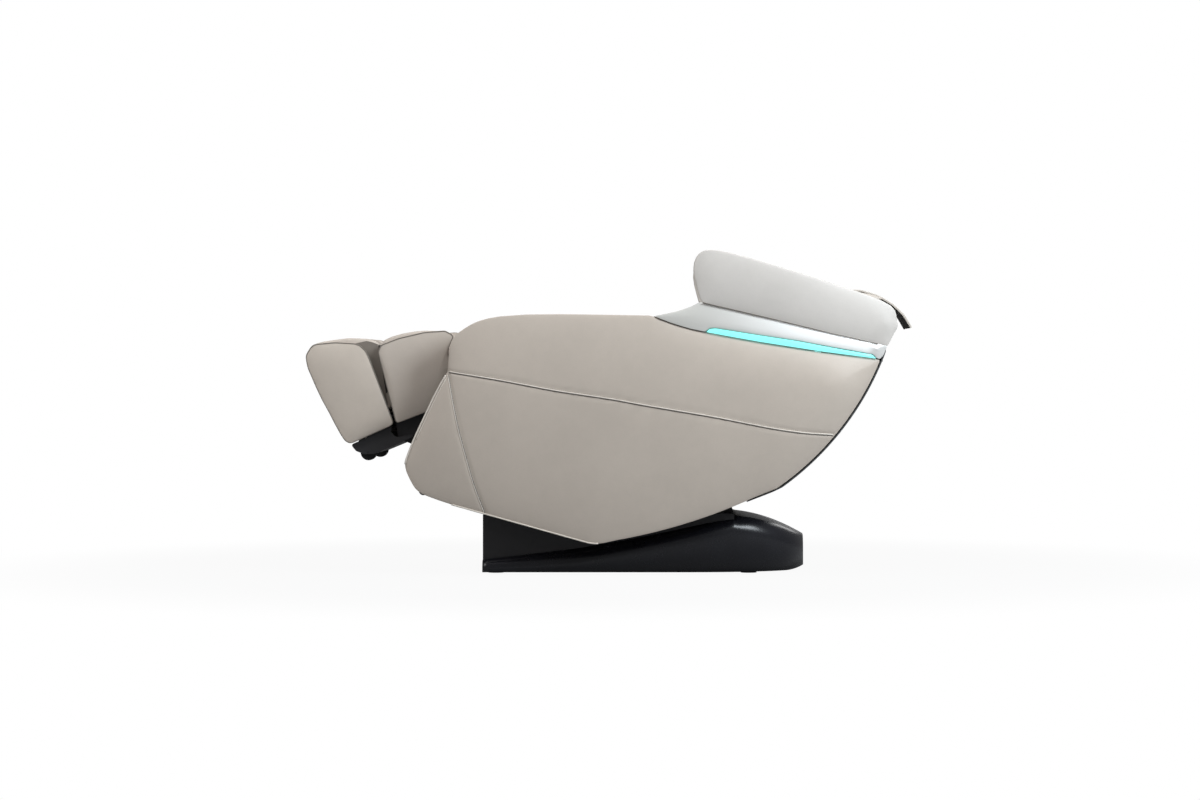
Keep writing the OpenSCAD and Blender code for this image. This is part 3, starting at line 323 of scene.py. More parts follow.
def corner(a, p, b, n):
    """The corner at p on the way from a to b, rounded by p's third number with n steps of an arc."""
    q = V2(p[0], p[1])
    if len(p) < 3:
        return [q]
    u, v = V2(a[0], a[1]) - q, V2(b[0], b[1]) - q
    lu, lv = np.linalg.norm(u), np.linalg.norm(v)
    u, v = u / lu, v / lv
    half = math.acos(max(-1, min(1, float(u @ v)))) / 2
    reach = min(p[2] / math.tan(half), 0.48 * min(lu, lv))
    r = reach * math.tan(half)
    c = q + (u + v) / np.linalg.norm(u + v) * r / math.sin(half)
    x, z = q + u * reach - c
    sweep = (math.pi - 2 * half) * (-1 if (u[0] * v[1] - u[1] * v[0]) > 0 else 1)
    turns = [sweep * k / n for k in range(n + 1)]
    return [c + V2(x * math.cos(t) - z * math.sin(t), x * math.sin(t) + z * math.cos(t)) for t in turns]


def chain(pts, n=10):
    """An open line through the points between the first and the last, with its corners rounded."""
    return [q for i in range(1, len(pts) - 1) for q in corner(pts[i - 1], pts[i], pts[i + 1], n)]


def rounded(pts, n=10):
    """A closed line through the points, with its corners rounded."""
    m = len(pts)
    return [q for i in range(m) for q in corner(pts[i - 1], pts[i], pts[(i + 1) % m], n)]


def arc(c, r, start, end, n):
    """n steps round a centre from one angle to another, in degrees."""
    turns = [math.radians(a) for a in np.linspace(start, end, n + 1)]
    return [c + r * V2(math.cos(a), math.sin(a)) for a in turns]


def relaxed(q, times, closed=True):
    """The points drawn between their neighbours so many times; an open line keeps its ends."""
    for _ in range(times):
        if closed:
            q = (np.roll(q, 1, 0) + 2 * q + np.roll(q, -1, 0)) / 4
        else:
            q[1:-1] = (q[:-2] + 2 * q[1:-1] + q[2:]) / 4
    return q


def even(points, n, soften=0.0, closed=True):
    """Evenly spaced points on a line through the given ones, softened over a length in millimetres."""
    p = np.array(points, float)
    if closed:
        p = np.vstack([p, p[:1]])
    d = np.r_[0, np.cumsum(np.linalg.norm(np.diff(p, axis=0), axis=1))]
    keep = np.r_[True, np.diff(d) > 1e-6]
    p, d = p[keep], d[keep]
    t = np.linspace(0, d[-1], n + 1)[: n if closed else n + 1]
    q = np.stack([np.interp(t, d, p[:, k]) for k in range(p.shape[1])], 1)
    if soften:
        step = d[-1] / n
        q = relaxed(q, max(1, int((soften / step) ** 2)), closed)
    return q


panel_outline = (
    [(-489, 594), (-506, 565), (-526, 527), (-548, 480), (-567, 440), (-582, 408), (-594, 378), (-603, 355)]
    + [(-608.5, 338), (-609.5, 324), (-605.5, 308), (-594.5, 284), (-584, 265), (-575, 254), (-562, 244)]
    + [(-540, 234.5), (-510, 223.5), (-470, 210.5)]
    + chain([(-470, 210.5), (-47, 92, 120), (86, 120)], 14)
    + arc(under_centre, under_r, -80, -65.4, 30)
    + arc(rear_centre, rear_r, -55.5, -23.4, 60)
    + [(797.5, 640), (617, 662), (440, 689), (281, 719), (235, 728.8), (205, 737.5), (176, 747)]
    + [(146, 758.5), (128, 767), (116, 770.5), (-32, 773), (-150, 774.5), (-250, 773.5), (-328, 768)]
    + [(-364, 762), (-392, 754), (-415, 743.5), (-436, 730.5), (-455, 717), (-469, 702)]
    + [(-475.5, 686), (-480, 655), (-482.5, 625), (-483, 606)]
)
trim_outline = [
    (130, 769), (147, 760.5), (177, 749), (206, 739.5), (236, 731), (278, 722.5), (289, 732), (307, 734.5),
    (420, 716.5), (546, 697.5), (660, 676.5), (775, 656.5), (789, 643), (797, 641.5), (808, 655),
    (818, 680.5), (655, 717), (499, 755), (380, 783), (270, 808), (262, 810), (232, 795), (190, 782),
]
light_outline = [
    (282, 721.5), (291, 730), (307, 732.5), (420, 714.5), (546, 695.5), (660, 674.5), (774, 654.5),
    (786, 643), (660, 658.5), (546, 675.5), (440, 692.5), (360, 706.5),
]
wing_outline = [
    (271, 808.6), (263, 823.5), (255.5, 850), (248, 880), (244.5, 905), (247, 928), (254, 944),
    (265.5, 956.5), (279, 962), (296, 963.5), (318, 961.5), (345, 956), (411, 939.5), (500, 912.3),
    (598, 882.8), (687, 853.3), (720, 843.5), (762, 829), (802, 813.5), (828, 799), (841, 785),
    (845, 770), (845.5, 757), (849, 744), (847, 733), (838, 719), (832, 707), (826, 695), (818.5, 681.1),
    (655, 717.6), (499, 755.6), (380, 783.6),
]
calf_outline = (
    chain([(-700, 663), (-646, 450, 6), (-514, 501, 14), (-480, 622)], 8)
    + arc(knee, 60, -142, -210, 16)
    + chain([
        (-483, 693), (-474, 712, 8), (-500, 726, 12), (-560, 722, 120), (-640, 703, 60), (-692, 683, 14),
        (-700, 663, 10), (-646, 450),
    ], 10)
)
foot_outline = rounded([
    (-784, 389, 8), (-654, 447, 5), (-709, 594, 60), (-736, 664, 12), (-760, 687, 30), (-830, 691, 80),
    (-897, 685, 20), (-917, 652, 10), (-911, 617), (-901, 594), (-886, 559), (-868, 521), (-847, 483),
    (-829, 448), (-812, 417), (-799, 397, 6),
], 10)


# ---------------------------------------------------------------- mesh tools
def linked(name, data):
    made = bpy.data.objects.new(name, data)
    bpy.context.scene.collection.objects.link(made)
    return made


def mesh_of(name, verts, faces, edges=()):
    """A mesh from points in millimetres."""
    mesh = bpy.data.meshes.new(name)
    mesh.from_pydata((np.asarray(verts, float) * MM).tolist(), edges, faces)
    return mesh


def settled(made):
    """The object's mesh with its modifiers applied."""
    graph = bpy.context.evaluated_depsgraph_get()
    return bpy.data.meshes.new_from_object(made.evaluated_get(graph))


same_point, short_edge = 2e-6, 1e-7


def piece(name, verts, faces, finish, body, stands_for=(), sharp=None):
    """A finished mesh in chair coordinates, from millimetres, riding on its body where it has one."""
    mesh = mesh_of(name, verts, faces)
    mesh.materials.append(finish.material)
    bm = bmesh.new()
    bm.from_mesh(mesh)
    bmesh.ops.remove_doubles(bm, verts=bm.verts, dist=same_point)
    bmesh.ops.dissolve_degenerate(bm, dist=short_edge, edges=bm.edges)
    bmesh.ops.recalc_face_normals(bm, faces=bm.faces)
    if sharp is not None:
        for e in bm.edges:
            if len(e.link_faces) == 2 and e.calc_face_angle(0) > math.radians(sharp):
                e.smooth = False
    bm.to_mesh(mesh)
    bm.free()
    mesh.polygons.foreach_set("use_smooth", [True] * len(mesh.polygons))
    made = linked(name, mesh)
    if body:
        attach(made, body)
    if stands_for:
        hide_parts(*stands_for)
    return made


def mirrored(shape):
    """The shape on the other side of the chair."""
    verts, faces = shape
    verts = np.array(verts, float)
    verts[:, 1] *= -1
    return verts, [tuple(reversed(f)) for f in faces]


def merged(*shapes):
    verts, faces, n = [], [], 0
    for v, f in shapes:
        v = np.asarray(v, float)
        verts.append(v)
        faces += [tuple(i + n for i in face) for face in f]
        n += len(v)
    return np.vstack(verts), faces


def both(shape):
    return merged(shape, mirrored(shape))


def skin(rings, closed=True, ends=True):
    """Quads over rings of points; ends are closed by one face each."""
    rings = np.asarray(rings, float)
    m, n = rings.shape[:2]
    verts = rings.reshape(-1, 3)
    faces = []
    for j in range(m - 1):
        for i in range(n if closed else n - 1):
            a, b = j * n + i, j * n + (i + 1) % n
            faces.append((a, b, b + n, a + n))
    if ends and closed:
        faces.append(tuple(range(n - 1, -1, -1)))
        faces.append(tuple((m - 1) * n + i for i in range(n)))
    return verts, faces


def nearest(p, a, b):
    """The point on the line a-b that is nearest to each point."""
    t = np.clip(((p - a) @ (b - a)) / ((b - a) @ (b - a)), 0, 1)
    return a + t[:, None] * (b - a)


def rise(t):
    """The crown's height, from 0 at the rim to 1 in the middle."""
    return (1 - (1 - np.asarray(t, float)) ** 2.1) ** 0.74


def aims(outline, a, b):
    """Where each outline point heads for as the crown closes: its nearest point on the line a-b, softened."""
    return relaxed(nearest(outline, a, b), int((0.035 * len(outline)) ** 2 * 2))


def loosened(outline):
    """The outline with its corners eased, for the rings inside it."""
    return relaxed(outline, int((0.03 * len(outline)) ** 2 * 2))


def ring_at(outline, aim, t, y, eased=None):
    """The outline at a share t of the way to its aims, set at y."""
    base = outline if eased is None else outline + (eased - outline) * (1 - (1 - t) ** 6)
    q = base + (aim - base) * t
    return np.stack([q[:, 0], y + narrow(q[:, 0]), q[:, 1]], 1)


crown_steps = np.linspace(0, 1, 42) ** 1.7


def crowned(outline, a, b, out_y, crown_out, in_y, crown_in, wall=None):
    """A crowned slab on the left, or with a wall a crowned shell open towards the chair."""
    aim, eased = aims(outline, V2(*a), V2(*b)), loosened(outline)
    rings = [ring_at(outline, aim, t, -out_y - crown_out * rise(t), eased) for t in crown_steps[::-1]]
    rings += [ring_at(outline, aim, 0, y) for y in np.linspace(-out_y, -in_y, 4)[1:]]
    if wall is None:
        rings += [ring_at(outline, aim, t, -in_y + crown_in * rise(t), eased) for t in crown_steps[1:]]
    else:
        lip = wall / 120
        rings += [ring_at(outline, aim, lip, -in_y)]
        rings += [
            ring_at(outline, aim, max(t, lip), -out_y - crown_out * rise(t) + wall, eased)
            for t in np.r_[crown_steps[4:-1:3], 1.0]
        ]
    return skin(rings, ends=False)


def surface_of(shape):
    verts, faces = shape
    return BVHTree.FromPolygons([Vector(v) for v in verts], faces)


def tube(path, radius, sides=10, closed=False):
    """A round bead along a path in chair coordinates."""
    p = np.asarray(path, float)
    t = np.roll(p, -1, 0) - np.roll(p, 1, 0)
    if not closed:
        t[0], t[-1] = p[1] - p[0], p[-1] - p[-2]
    t /= np.linalg.norm(t, axis=1)[:, None]
    up = np.array([0.0, 1.0, 0.0])
    a = np.linspace(0, 2 * math.pi, sides, endpoint=False)
    rings = []
    for at, along, r in zip(p, t, np.broadcast_to(radius, len(p))):
        u = up - along * (up @ along)
        if np.linalg.norm(u) < 1e-3:
            u = np.array([1.0, 0, 0]) - along * along[0]
        u /= np.linalg.norm(u)
        w = np.cross(along, u)
        up = u
        rings.append(at + r * (np.cos(a)[:, None] * u + np.sin(a)[:, None] * w))
    if closed:
        rings.append(rings[0])
    return skin(rings, ends=not closed)


beside_chair = -700.0


def on_surface(line, surface, lift):
    """Drops side-plane points onto a surface from the left, and lifts them off it."""
    out = []
    for x, z in line:
        hit = surface.ray_cast(Vector((x, beside_chair, z)), Vector((0, 1, 0)))[0]
        if hit is not None:
            out.append((x, hit.y - lift, z))
    return np.array(out)


def line_distance(p, line):
    """How far each point is from a line of short stretches."""
    best = np.full(len(p), 1e9)
    for a, b in zip(line[:-1], line[1:]):
        best = np.minimum(best, np.linalg.norm(p - nearest(p, a, b), axis=1))
    return best


# ---------------------------------------------------------------- stitches and screws by node trees
def join(tree, *pairs):
    for out, into in pairs:
        tree.links.new(out, into)


def bar_tree(name, finish, sides, sizes):
    """A tree that sets a round bar on each of its points, which the caller links with their directions."""
    tree = bpy.data.node_groups.new(name, "GeometryNodeTree")
    tree.interface.new_socket("Geometry", in_out="INPUT", socket_type="NodeSocketGeometry")
    for key, value in sizes.items():
        tree.interface.new_socket(key, in_out="INPUT", socket_type="NodeSocketFloat").default_value = value
    tree.interface.new_socket("Geometry", in_out="OUTPUT", socket_type="NodeSocketGeometry")
    start, end, bar, points, align, real, paint = (
        tree.nodes.new(kind) for kind in (
            "NodeGroupInput", "NodeGroupOutput", "GeometryNodeMeshCylinder", "GeometryNodeInstanceOnPoints",
            "FunctionNodeAlignEulerToVector", "GeometryNodeRealizeInstances", "GeometryNodeSetMaterial",
        )
    )
    align.axis = "Z"
    bar.inputs["Vertices"].default_value = sides
    paint.inputs["Material"].default_value = finish.material
    join(
        tree,
        (start.outputs["Radius"], bar.inputs["Radius"]),
        (start.outputs["Length"], bar.inputs["Depth"]),
        (bar.outputs["Mesh"], points.inputs["Instance"]),
        (align.outputs[0], points.inputs["Rotation"]),
        (points.outputs[0], real.inputs[0]),
        (real.outputs[0], paint.inputs[0]),
        (paint.outputs[0], end.inputs[0]),
    )
    return tree, start, points, align


def stitch_tree(finish):
    """Short thread bars at even steps along the incoming edges."""
    sizes = {"Pitch": 0.006, "Radius": 0.0005, "Length": 0.004}
    tree, start, points, align = bar_tree("stitch row", finish, 6, sizes)
    curve = tree.nodes.new("GeometryNodeMeshToCurve")
    evenly = tree.nodes.new("GeometryNodeResampleCurve")
    tangent = tree.nodes.new("GeometryNodeInputTangent")
    evenly.mode = "LENGTH"
    join(
        tree,
        (start.outputs["Geometry"], curve.inputs[0]),
        (curve.outputs[0], evenly.inputs["Curve"]),
        (start.outputs["Pitch"], evenly.inputs["Length"]),
        (evenly.outputs[0], points.inputs["Points"]),
        (tangent.outputs[0], align.inputs["Vector"]),
    )
    return tree


def screw_tree(finish):
    """Low screw heads, one on the first corner of each small triangle, turned to its normal."""
    tree, start, points, align = bar_tree("screw heads", finish, 10, {"Radius": 0.004, "Length": 0.002})
    normal = tree.nodes.new("GeometryNodeInputNormal")
    order = tree.nodes.new("GeometryNodeInputIndex")
    corner_no = tree.nodes.new("ShaderNodeMath")
    corner_no.operation = "MODULO"
    corner_no.inputs[1].default_value = 3.0
    first = tree.nodes.new("ShaderNodeMath")
    first.operation = "LESS_THAN"
    first.inputs[1].default_value = 0.5
    join(
        tree,
        (order.outputs[0], corner_no.inputs[0]),
        (corner_no.outputs[0], first.inputs[0]),
        (start.outputs["Geometry"], points.inputs["Points"]),
        (first.outputs[0], points.inputs["Selection"]),
        (normal.outputs[0], align.inputs["Vector"]),
    )
    return tree


def grown(name, verts, edges, faces, tree, sizes, body):
    """Runs a node tree on a seed mesh and keeps the result as a plain piece."""
    seed = linked(name + "_seed", mesh_of(name + "_seed", verts, faces, edges))
    modifier = seed.modifiers.new("grow", "NODES")
    modifier.node_group = tree
    for item in tree.interface.items_tree:
        if item.in_out == "INPUT" and item.name in sizes:
            modifier[item.identifier] = sizes[item.name]
    mesh = settled(seed)
    bpy.data.objects.remove(seed)
    made = linked(name, mesh)
    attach(made, body)


STITCHES = stitch_tree(THREAD)
SCREWS = screw_tree(STEEL)
stitch_pitch, thread_radius = 0.0065, 0.00045


def stitch_rows(name, paths, body):
    """Rows of stitches along paths in millimetres."""
    verts, edges = [], []
    for path in paths:
        n = len(verts)
        verts += [tuple(p) for p in path]
        edges += [(n + i, n + i + 1) for i in range(len(path) - 1)]
    sizes = {"Pitch": stitch_pitch, "Radius": thread_radius, "Length": stitch_pitch * 0.62}
    grown(name, verts, edges, [], STITCHES, sizes, body)


def screws(name, places, radius, height, body):
    """One screw head at each (place, outward direction), in millimetres."""
    verts, faces = [], []
    for at, out in places:
        out = out / np.linalg.norm(out)
        u = np.cross(out, (0.31, 0.95, 0.05))
        u /= np.linalg.norm(u)
        w = np.cross(out, u)
        n = len(verts)
        verts += [at + 0.2 * (u * math.cos(a) + w * math.sin(a)) for a in (0, 2.094, 4.189)]
        faces.append((n, n + 1, n + 2))
    grown(name, verts, [], faces, SCREWS, {"Radius": radius * MM, "Length": height * MM}, body)


# ---------------------------------------------------------------- side panels
SIDES = (("left", lambda shape: shape), ("right", mirrored))
panel_wall = 4
seam_depth, seam_spread = 2.4, 5.5
side_seam = [
    (-480, 604.5), (-328, 580), (-162, 548), (15, 522), (86, 508), (312, 470), (481, 436), (571, 423),
    (656, 418),
]
front_seam = [(-480, 594), (-467, 520), (-452, 446), (-428, 354), (-404, 269), (-373, 186)]
side_line, front_line = even(side_seam, 260, 40, False), even(front_seam, 140, 30, False)
panel_edge = even(panel_outline, 620, 5)
panel_verts, panel_faces = crowned(
    panel_edge, (-400, 480), (640, 560), rim_y, crown_y, inner_y, 0, panel_wall
)
outer_skin = panel_verts[:, 1] < -rim_y + panel_wall - 0.1
for line in (side_line, front_line):
    d = line_distance(panel_verts[:, [0, 2]], line)
    panel_verts[:, 1] += np.where(outer_skin, seam_depth * np.exp(-((d / seam_spread) ** 2)), 0)
side_surface = surface_of((panel_verts, panel_faces))


def panel_bead(line, radius, lift, across=0.0, up=0.0, sides=8):
    """A bead on the panel along a line, moved a little in the side plane."""
    return tube(on_surface(line + V2(across, up), side_surface, lift), radius, sides)


def edge_run(start, end, outline):
    """The stretch of an outline between the points nearest to two places, the way the outline runs."""
    i, j = (int(np.argmin(np.linalg.norm(outline - V2(*p), axis=1))) for p in (start, end))
    return outline[i : j + 1] if j >= i else np.vstack([outline[i:], outline[: j + 1]])


def rim_bead(run, y, radius, closed=False):
    """A bead along a rim that stands y out from the middle."""
    path = np.stack([run[:, 0], -y + narrow(run[:, 0]), run[:, 1]], 1)
    return tube(path, radius, 8, closed)


front_edge = edge_run((-478, 590), (-600, 330), panel_edge)
lower_edge = edge_run((-474, 212), (-40, 97), panel_edge)
welts = merged(
    panel_bead(side_line, 2.0, 0.6),
    panel_bead(front_line, 1.5, 0.3, -2.6),
    rim_bead(front_edge, rim_y + 2, 2.4),
    rim_bead(lower_edge, rim_y + 1, 2.2),
    panel_bead(front_edge[3:-14], 1.2, 0.4, 8.0, 1.0),
)
# Painted shade: thin near-black beads under the side seam's welt and along the front seam, standing for the
# shadow in their grooves
seam_shades = merged(
    panel_bead(side_line, 1.4, 0.3, 0.3, -3.1, sides=6), panel_bead(front_line, 1.2, 0.2, sides=6)
)
stitch_offset = np.array([0, -0.2, 4.5])
stitch_paths = [on_surface(line, side_surface, 0.6) + stitch_offset for line in (side_line, front_line)]
for side, turn in SIDES:
    piece("side_leather_" + side, *turn((panel_verts, panel_faces)), TAUPE, "capsule", ["side_panel_" + side])
    piece("side_welts_" + side, *turn(welts), WELT, "capsule")
    piece("side_seam_shade_" + side, *turn(seam_shades), SEAM_SHADOW, "capsule")
    stitch_rows("side_stitches_" + side, [turn((path, []))[0] for path in stitch_paths], "capsule")

# ---------------------------------------------------------------- trims and lights
trim_y, trim_crown, light_y, light_crown = 366, 4, 365, 3
trim_shape = crowned(even(trim_outline, 420, 2.0), (236, 768), (800, 670), trim_y, trim_crown, inner_y, 0)
light_edge = even(light_outline, 360, 1.2)
light_shape = crowned(light_edge, (300, 724), (772, 649.5), light_y, light_crown, inner_y, 0)
# Painted shade: thin near-black beads along the gaps at the trim's edges, standing for the shadow in those
# gaps
front_gap = even([(128, 768), (146, 759), (176, 748), (206, 738.5), (236, 730), (280, 720)], 60, 4, False)
rear_gap = even([(280, 720), (440, 691.5), (617, 664), (786, 642)], 90, 4, False)
trim_gap_shade = merged(rim_bead(front_gap, trim_y - 2, 0.9), rim_bead(rear_gap, trim_y, 0.8))
for side, turn in SIDES:
    piece("shoulder_gap_shade_" + side, *turn(trim_gap_shade), SEAM_SHADOW, "capsule")
    piece("shoulder_silver_" + side, *turn(trim_shape), SILVER, "capsule", ["shoulder_trims"])
    piece("light_bar_" + side, *turn(light_shape), LIGHT, "capsule", ["light_strips"])

# ---------------------------------------------------------------- wings
wing_edge = even(wing_outline, 420, 5)
wing_crown, wing_in, wing_in_crown = 7.5, 272, 10
wing_shape = crowned(wing_edge, (320, 885), (810, 748), rim_y + 3, wing_crown, wing_in, wing_in_crown)
wing_pipe = rim_bead(wing_edge, rim_y - 3, 1.5, closed=True)
# Painted shade: a near-black bead along the wing's lower edge, standing for the shadow in the gap above the
# trim
wing_foot = even([(272, 807.5), (380, 782.5), (499, 754.5), (655, 716.5), (790, 686.5)], 110, 4, False)
wing_gap_shade = rim_bead(wing_foot, trim_y + trim_crown + 0.5, np.linspace(2.0, 1.3, len(wing_foot)))
for side, turn in SIDES:
    piece("wing_leather_" + side, *turn(wing_shape), WING, "capsule", ["wing_" + side])
    piece("wing_piping_" + side, *turn(wing_pipe), WING, "capsule")
    piece("wing_gap_shade_" + side, *turn(wing_gap_shade), SEAM_SHADOW, "capsule")


# ---------------------------------------------------------------- rear shell
def normals(line, way):
    """Unit normals of a side-plane line, on the right of its run, or on its left where way is -1."""
    out = np.gradient(line, axis=0) @ np.array([[0, -way], [way, 0]])
    return out / np.linalg.norm(out, axis=1)[:, None]


rear_line = np.array(
    [(402, 218), (425, 227), (450, 236.5), (478, 247.5)]
    + arc(rear_centre, rear_r + rear_lip, -54.5, -19.6, 87)
    + arc(rear_centre, rear_r + rear_lip, -19.2, -18, 4)
    + arc(V2(800, 724), 38, -12, 62, 14)
)
across = np.linspace(-1, 1, 61)
shell_half, shell_flare, shell_bulge, shell_wall, wing_height = 258, 91.7, 5, 4.0, 671


def rear_grid(offset):
    """The shell's points at a depth under its face; it is narrower where it passes between the wings."""
    rows = []
    for p, out in zip(rear_line, normals(rear_line, 1)):
        wide = 1 / (1 + math.exp((p[1] - wing_height) / 3.0)) if p[0] > 700 else 1.0
        half = (shell_half + shell_flare * wide) - float(narrow(p[0]))
        bulge = shell_bulge * (1 - across**2) * (0.4 if p[0] < 480 and p[1] < 235 else 1.0)
        pos = p[None, :] + out[None, :] * (bulge[:, None] - offset)
        rows.append(np.stack([pos[:, 0], half * across, pos[:, 1]], 1))
    return np.array(rows)


outer_rows, inner_rows = rear_grid(0.0), rear_grid(shell_wall)
rear_shape = skin([np.vstack([o, i[::-1]]) for o, i in zip(outer_rows, inner_rows)])
piece("rear_shell", *rear_shape, REAR, "capsule", ["back_cover"], sharp=50)
rear_seam = 1.8
rear_seams = [tube(outer_rows[2:92, col] + np.array([0.4, 0, -0.4]), rear_seam, 8) for col in (16, 44)]
rear_seams.append(tube(outer_rows[84, 3:58] + np.array([0.6, 0, -0.4]), rear_seam, 8))
piece("rear_seams", *merged(*rear_seams), REAR, "capsule")
screw_radius, screw_height = 4.2, 1.8
screw_places = []
for row in range(8, 92, 9):
    for col in (4, 56):
        along = outer_rows[row + 1, col] - outer_rows[row - 1, col]
        over = outer_rows[row, col + 1] - outer_rows[row, col - 1]
        screw_places.append((outer_rows[row, col], np.cross(over, along)))
screws("rear_screws", screw_places, screw_radius, screw_height, "capsule")


# ---------------------------------------------------------------- pads
channel_depth, channel_width, gather_width = 9.0, 7.0, 22.0


def pad(
    to_chair, start, end, half, thick, channels, slant=(0.0, 0.0), taper=None,
    cols=72, rows=170, edge_roll=9.0,
):
    """A sewn pad: crowned across, drawn down at its rim and at each channel."""
    length = end - start

    def draw(w, width):
        """How strongly the channels draw at w, each over its width."""
        return sum(math.exp(-(((w - c) * length / 2 / width) ** 2)) for c in channels)

    v = np.linspace(-1, 1, rows)
    v = np.sort(np.concatenate([v, [-0.999, -0.995, -0.985, 0.985, 0.995, 0.999]]))
    u = np.sin(np.linspace(-math.pi / 2, math.pi / 2, cols)) * 0.5 + np.linspace(-1, 1, cols) * 0.5
    rings = []
    for w in v:
        x = start + length * ((w + 1) / 2)
        wide = half - (float(narrow(taper(x))) if taper else 0.0)
        end_drop = edge_roll * (1 - min(1.0, (1 - abs(w)) * length / 2 / edge_roll)) ** 2
        side = np.maximum(0, 1 - (1 - np.abs(u)) * wide / edge_roll)
        crown = thick * (1 - 0.34 * np.abs(u) ** 5) * (1 - 0.3 * abs(w) ** 8)
        top = crown - edge_roll * 0.6 * side**2 - end_drop * 0.5
        gather = 0.8 * np.sin(u * 55 + 9 * w) * draw(w, gather_width)
        top = top - channel_depth * draw(w, channel_width) * (1 - 0.5 * np.abs(u) ** 6) - 0.9 + gather
        lean = slant[0] * (-w) ** 9 if w < 0 else slant[1] * w**9
        ridge = np.stack([x - lean * (top - thick), wide * u, top - thick], 1)
        low = [[x + lean * thick, (wide - 1.5) * k, -thick] for k in (1, -1)]
        near, far = (
            [x + lean * (thick - top[k] * 0.5), wide * way, top[k] * 0.45 - thick]
            for k, way in ((-1, 1), (0, -1))
        )
        rings.append(np.vstack([ridge, [near], low, [far]]))
    verts, faces = skin(rings)
    return to_chair(verts), faces


# The seat and back pads are cut at a slant where they meet
meet = math.tan((seat_angle + back_angle) / 2)
seat_half, back_half, pad_thick = 250, 255, 45
seat_shape = pad(on_seat, 63, seat_len - 1, seat_half, pad_thick, [-0.45, 0, 0.45], (0, meet))
back_shape = pad(
    on_back, 1, back_len - 8, back_half, pad_thick, [-0.7, -0.4, -0.1, 0.2, 0.5], (-meet, 0),
    lambda x: hip[0] + x * math.cos(back_angle), rows=260,
)
seat_pad = piece("seat_pad", *seat_shape, TAUPE, "capsule", ["seat_cushion"])
back_pad = piece("back_pad", *back_shape, TAUPE, "capsule", ["back_cushion"])


def lathe(profile, centre, sides=72):
    """Turns (y, radius) pairs about a line across the chair."""
    a = np.linspace(0, 2 * math.pi, sides, endpoint=False)
    return skin([
        np.stack([centre[0] + r * np.cos(a), np.full(sides, y), centre[1] + r * np.sin(a)], 1)
        for y, r in profile
    ])


roll_half, roll_core, roll_pad, roll_end = 218, 39, 15.6, 16
tuck_depth, tuck_width, tuck_y = 2.2, 5, 109
roll_line = []
for y in np.linspace(-roll_half, roll_half, 120):
    end = min(1.0, (roll_half - abs(y)) / roll_end)
    tuck = sum(tuck_depth * math.exp(-(((y - c) / tuck_width) ** 2)) for c in (0, -tuck_y, tuck_y))
    roll_line.append((y, roll_core + roll_pad * math.sqrt(1 - (1 - end) ** 2) - tuck))
knee_bolster = piece("knee_bolster", *lathe(roll_line, knee), TAUPE, "capsule", ["knee_roll"])


# ---------------------------------------------------------------- head pillow with its flap
def lofted(profile, half, puff, cols=60, roll=26.0):
    """A cushion from its side-plane outline: full in the middle and drawn in towards both ends."""
    outline = even(profile, 220, 4)
    spine = nearest(outline, V2(560, 742), V2(800, 826))
    rings = []
    for y in np.linspace(-half, half, cols):
        end = min(1.0, (half - abs(y)) / roll)
        share = 1 - (1 - math.sqrt(max(0.0, 1 - (1 - end) ** 2))) * puff
        ring = spine + (outline - spine) * share
        rings.append(np.stack([ring[:, 0], np.full(len(ring), y), ring[:, 1]], 1))
    return skin(rings)


pillow_profile = [
    (520, 673), (600, 714.5), (700, 766.2), (785, 810), (806, 818), (818, 824), (806, 831), (775, 842),
    (745, 850), (694, 851), (620, 815), (560, 765), (518, 699),
]
pillow_half, pillow_puff = 150, 0.55
pillow_shape = lofted(pillow_profile, pillow_half, pillow_puff)
pillow = piece("head_pillow_body", *pillow_shape, PILLOW, "capsule", ["head_pillow"])
flap_steps = 70
flap_line = even(
    [(640, 829), (694, 853), (751, 854), (806, 837), (850, 811), (884, 778), (906, 739)],
    flap_steps, 14, False,
)
flap_across = np.linspace(-1, 1, 41)
flap_thick, lining_thick, lining_from = 4.0, 1.2, 30


def flap_ring(upper, lower, half):
    """One section across the flap, between its upper and lower side-plane points."""
    top, low = (np.stack([p[:, 0], half * flap_across, p[:, 1]], 1) for p in (upper, lower))
    return np.vstack([top, low[::-1]])


flap_rings, lining_rings = [], []
for k, (p, out) in enumerate(zip(flap_line, normals(flap_line, -1))):
    t = k / flap_steps
    half = 146 - 10 * t + 3 * math.sin(7 * t)
    wave = 1.6 * np.sin(flap_across * 9 + 3 * t) * t * t
    top = p[None, :] + out[None, :] * (wave[:, None] - 0.5 - 2.2 * np.abs(flap_across[:, None]) ** 12)
    low = top - out[None, :] * flap_thick
    flap_rings.append(flap_ring(top, low, half))
    lining_rings.append(flap_ring(low, low - out[None, :] * lining_thick, half - 3))
flap = piece("pillow_flap", *skin(flap_rings), PILLOW, "capsule", sharp=60)
# The lining's near-black colour is partly painted shade on the flap's underside
piece("pillow_flap_lining", *skin(lining_rings[lining_from:]), LINING_AND_SHADE, "capsule", sharp=60)


# ---------------------------------------------------------------- arms
def smooth(t):
    """0 below 0, 1 above 1 and an S-curve between."""
    t = np.clip(t, 0, 1)
    return t * t * (3 - 2 * t)


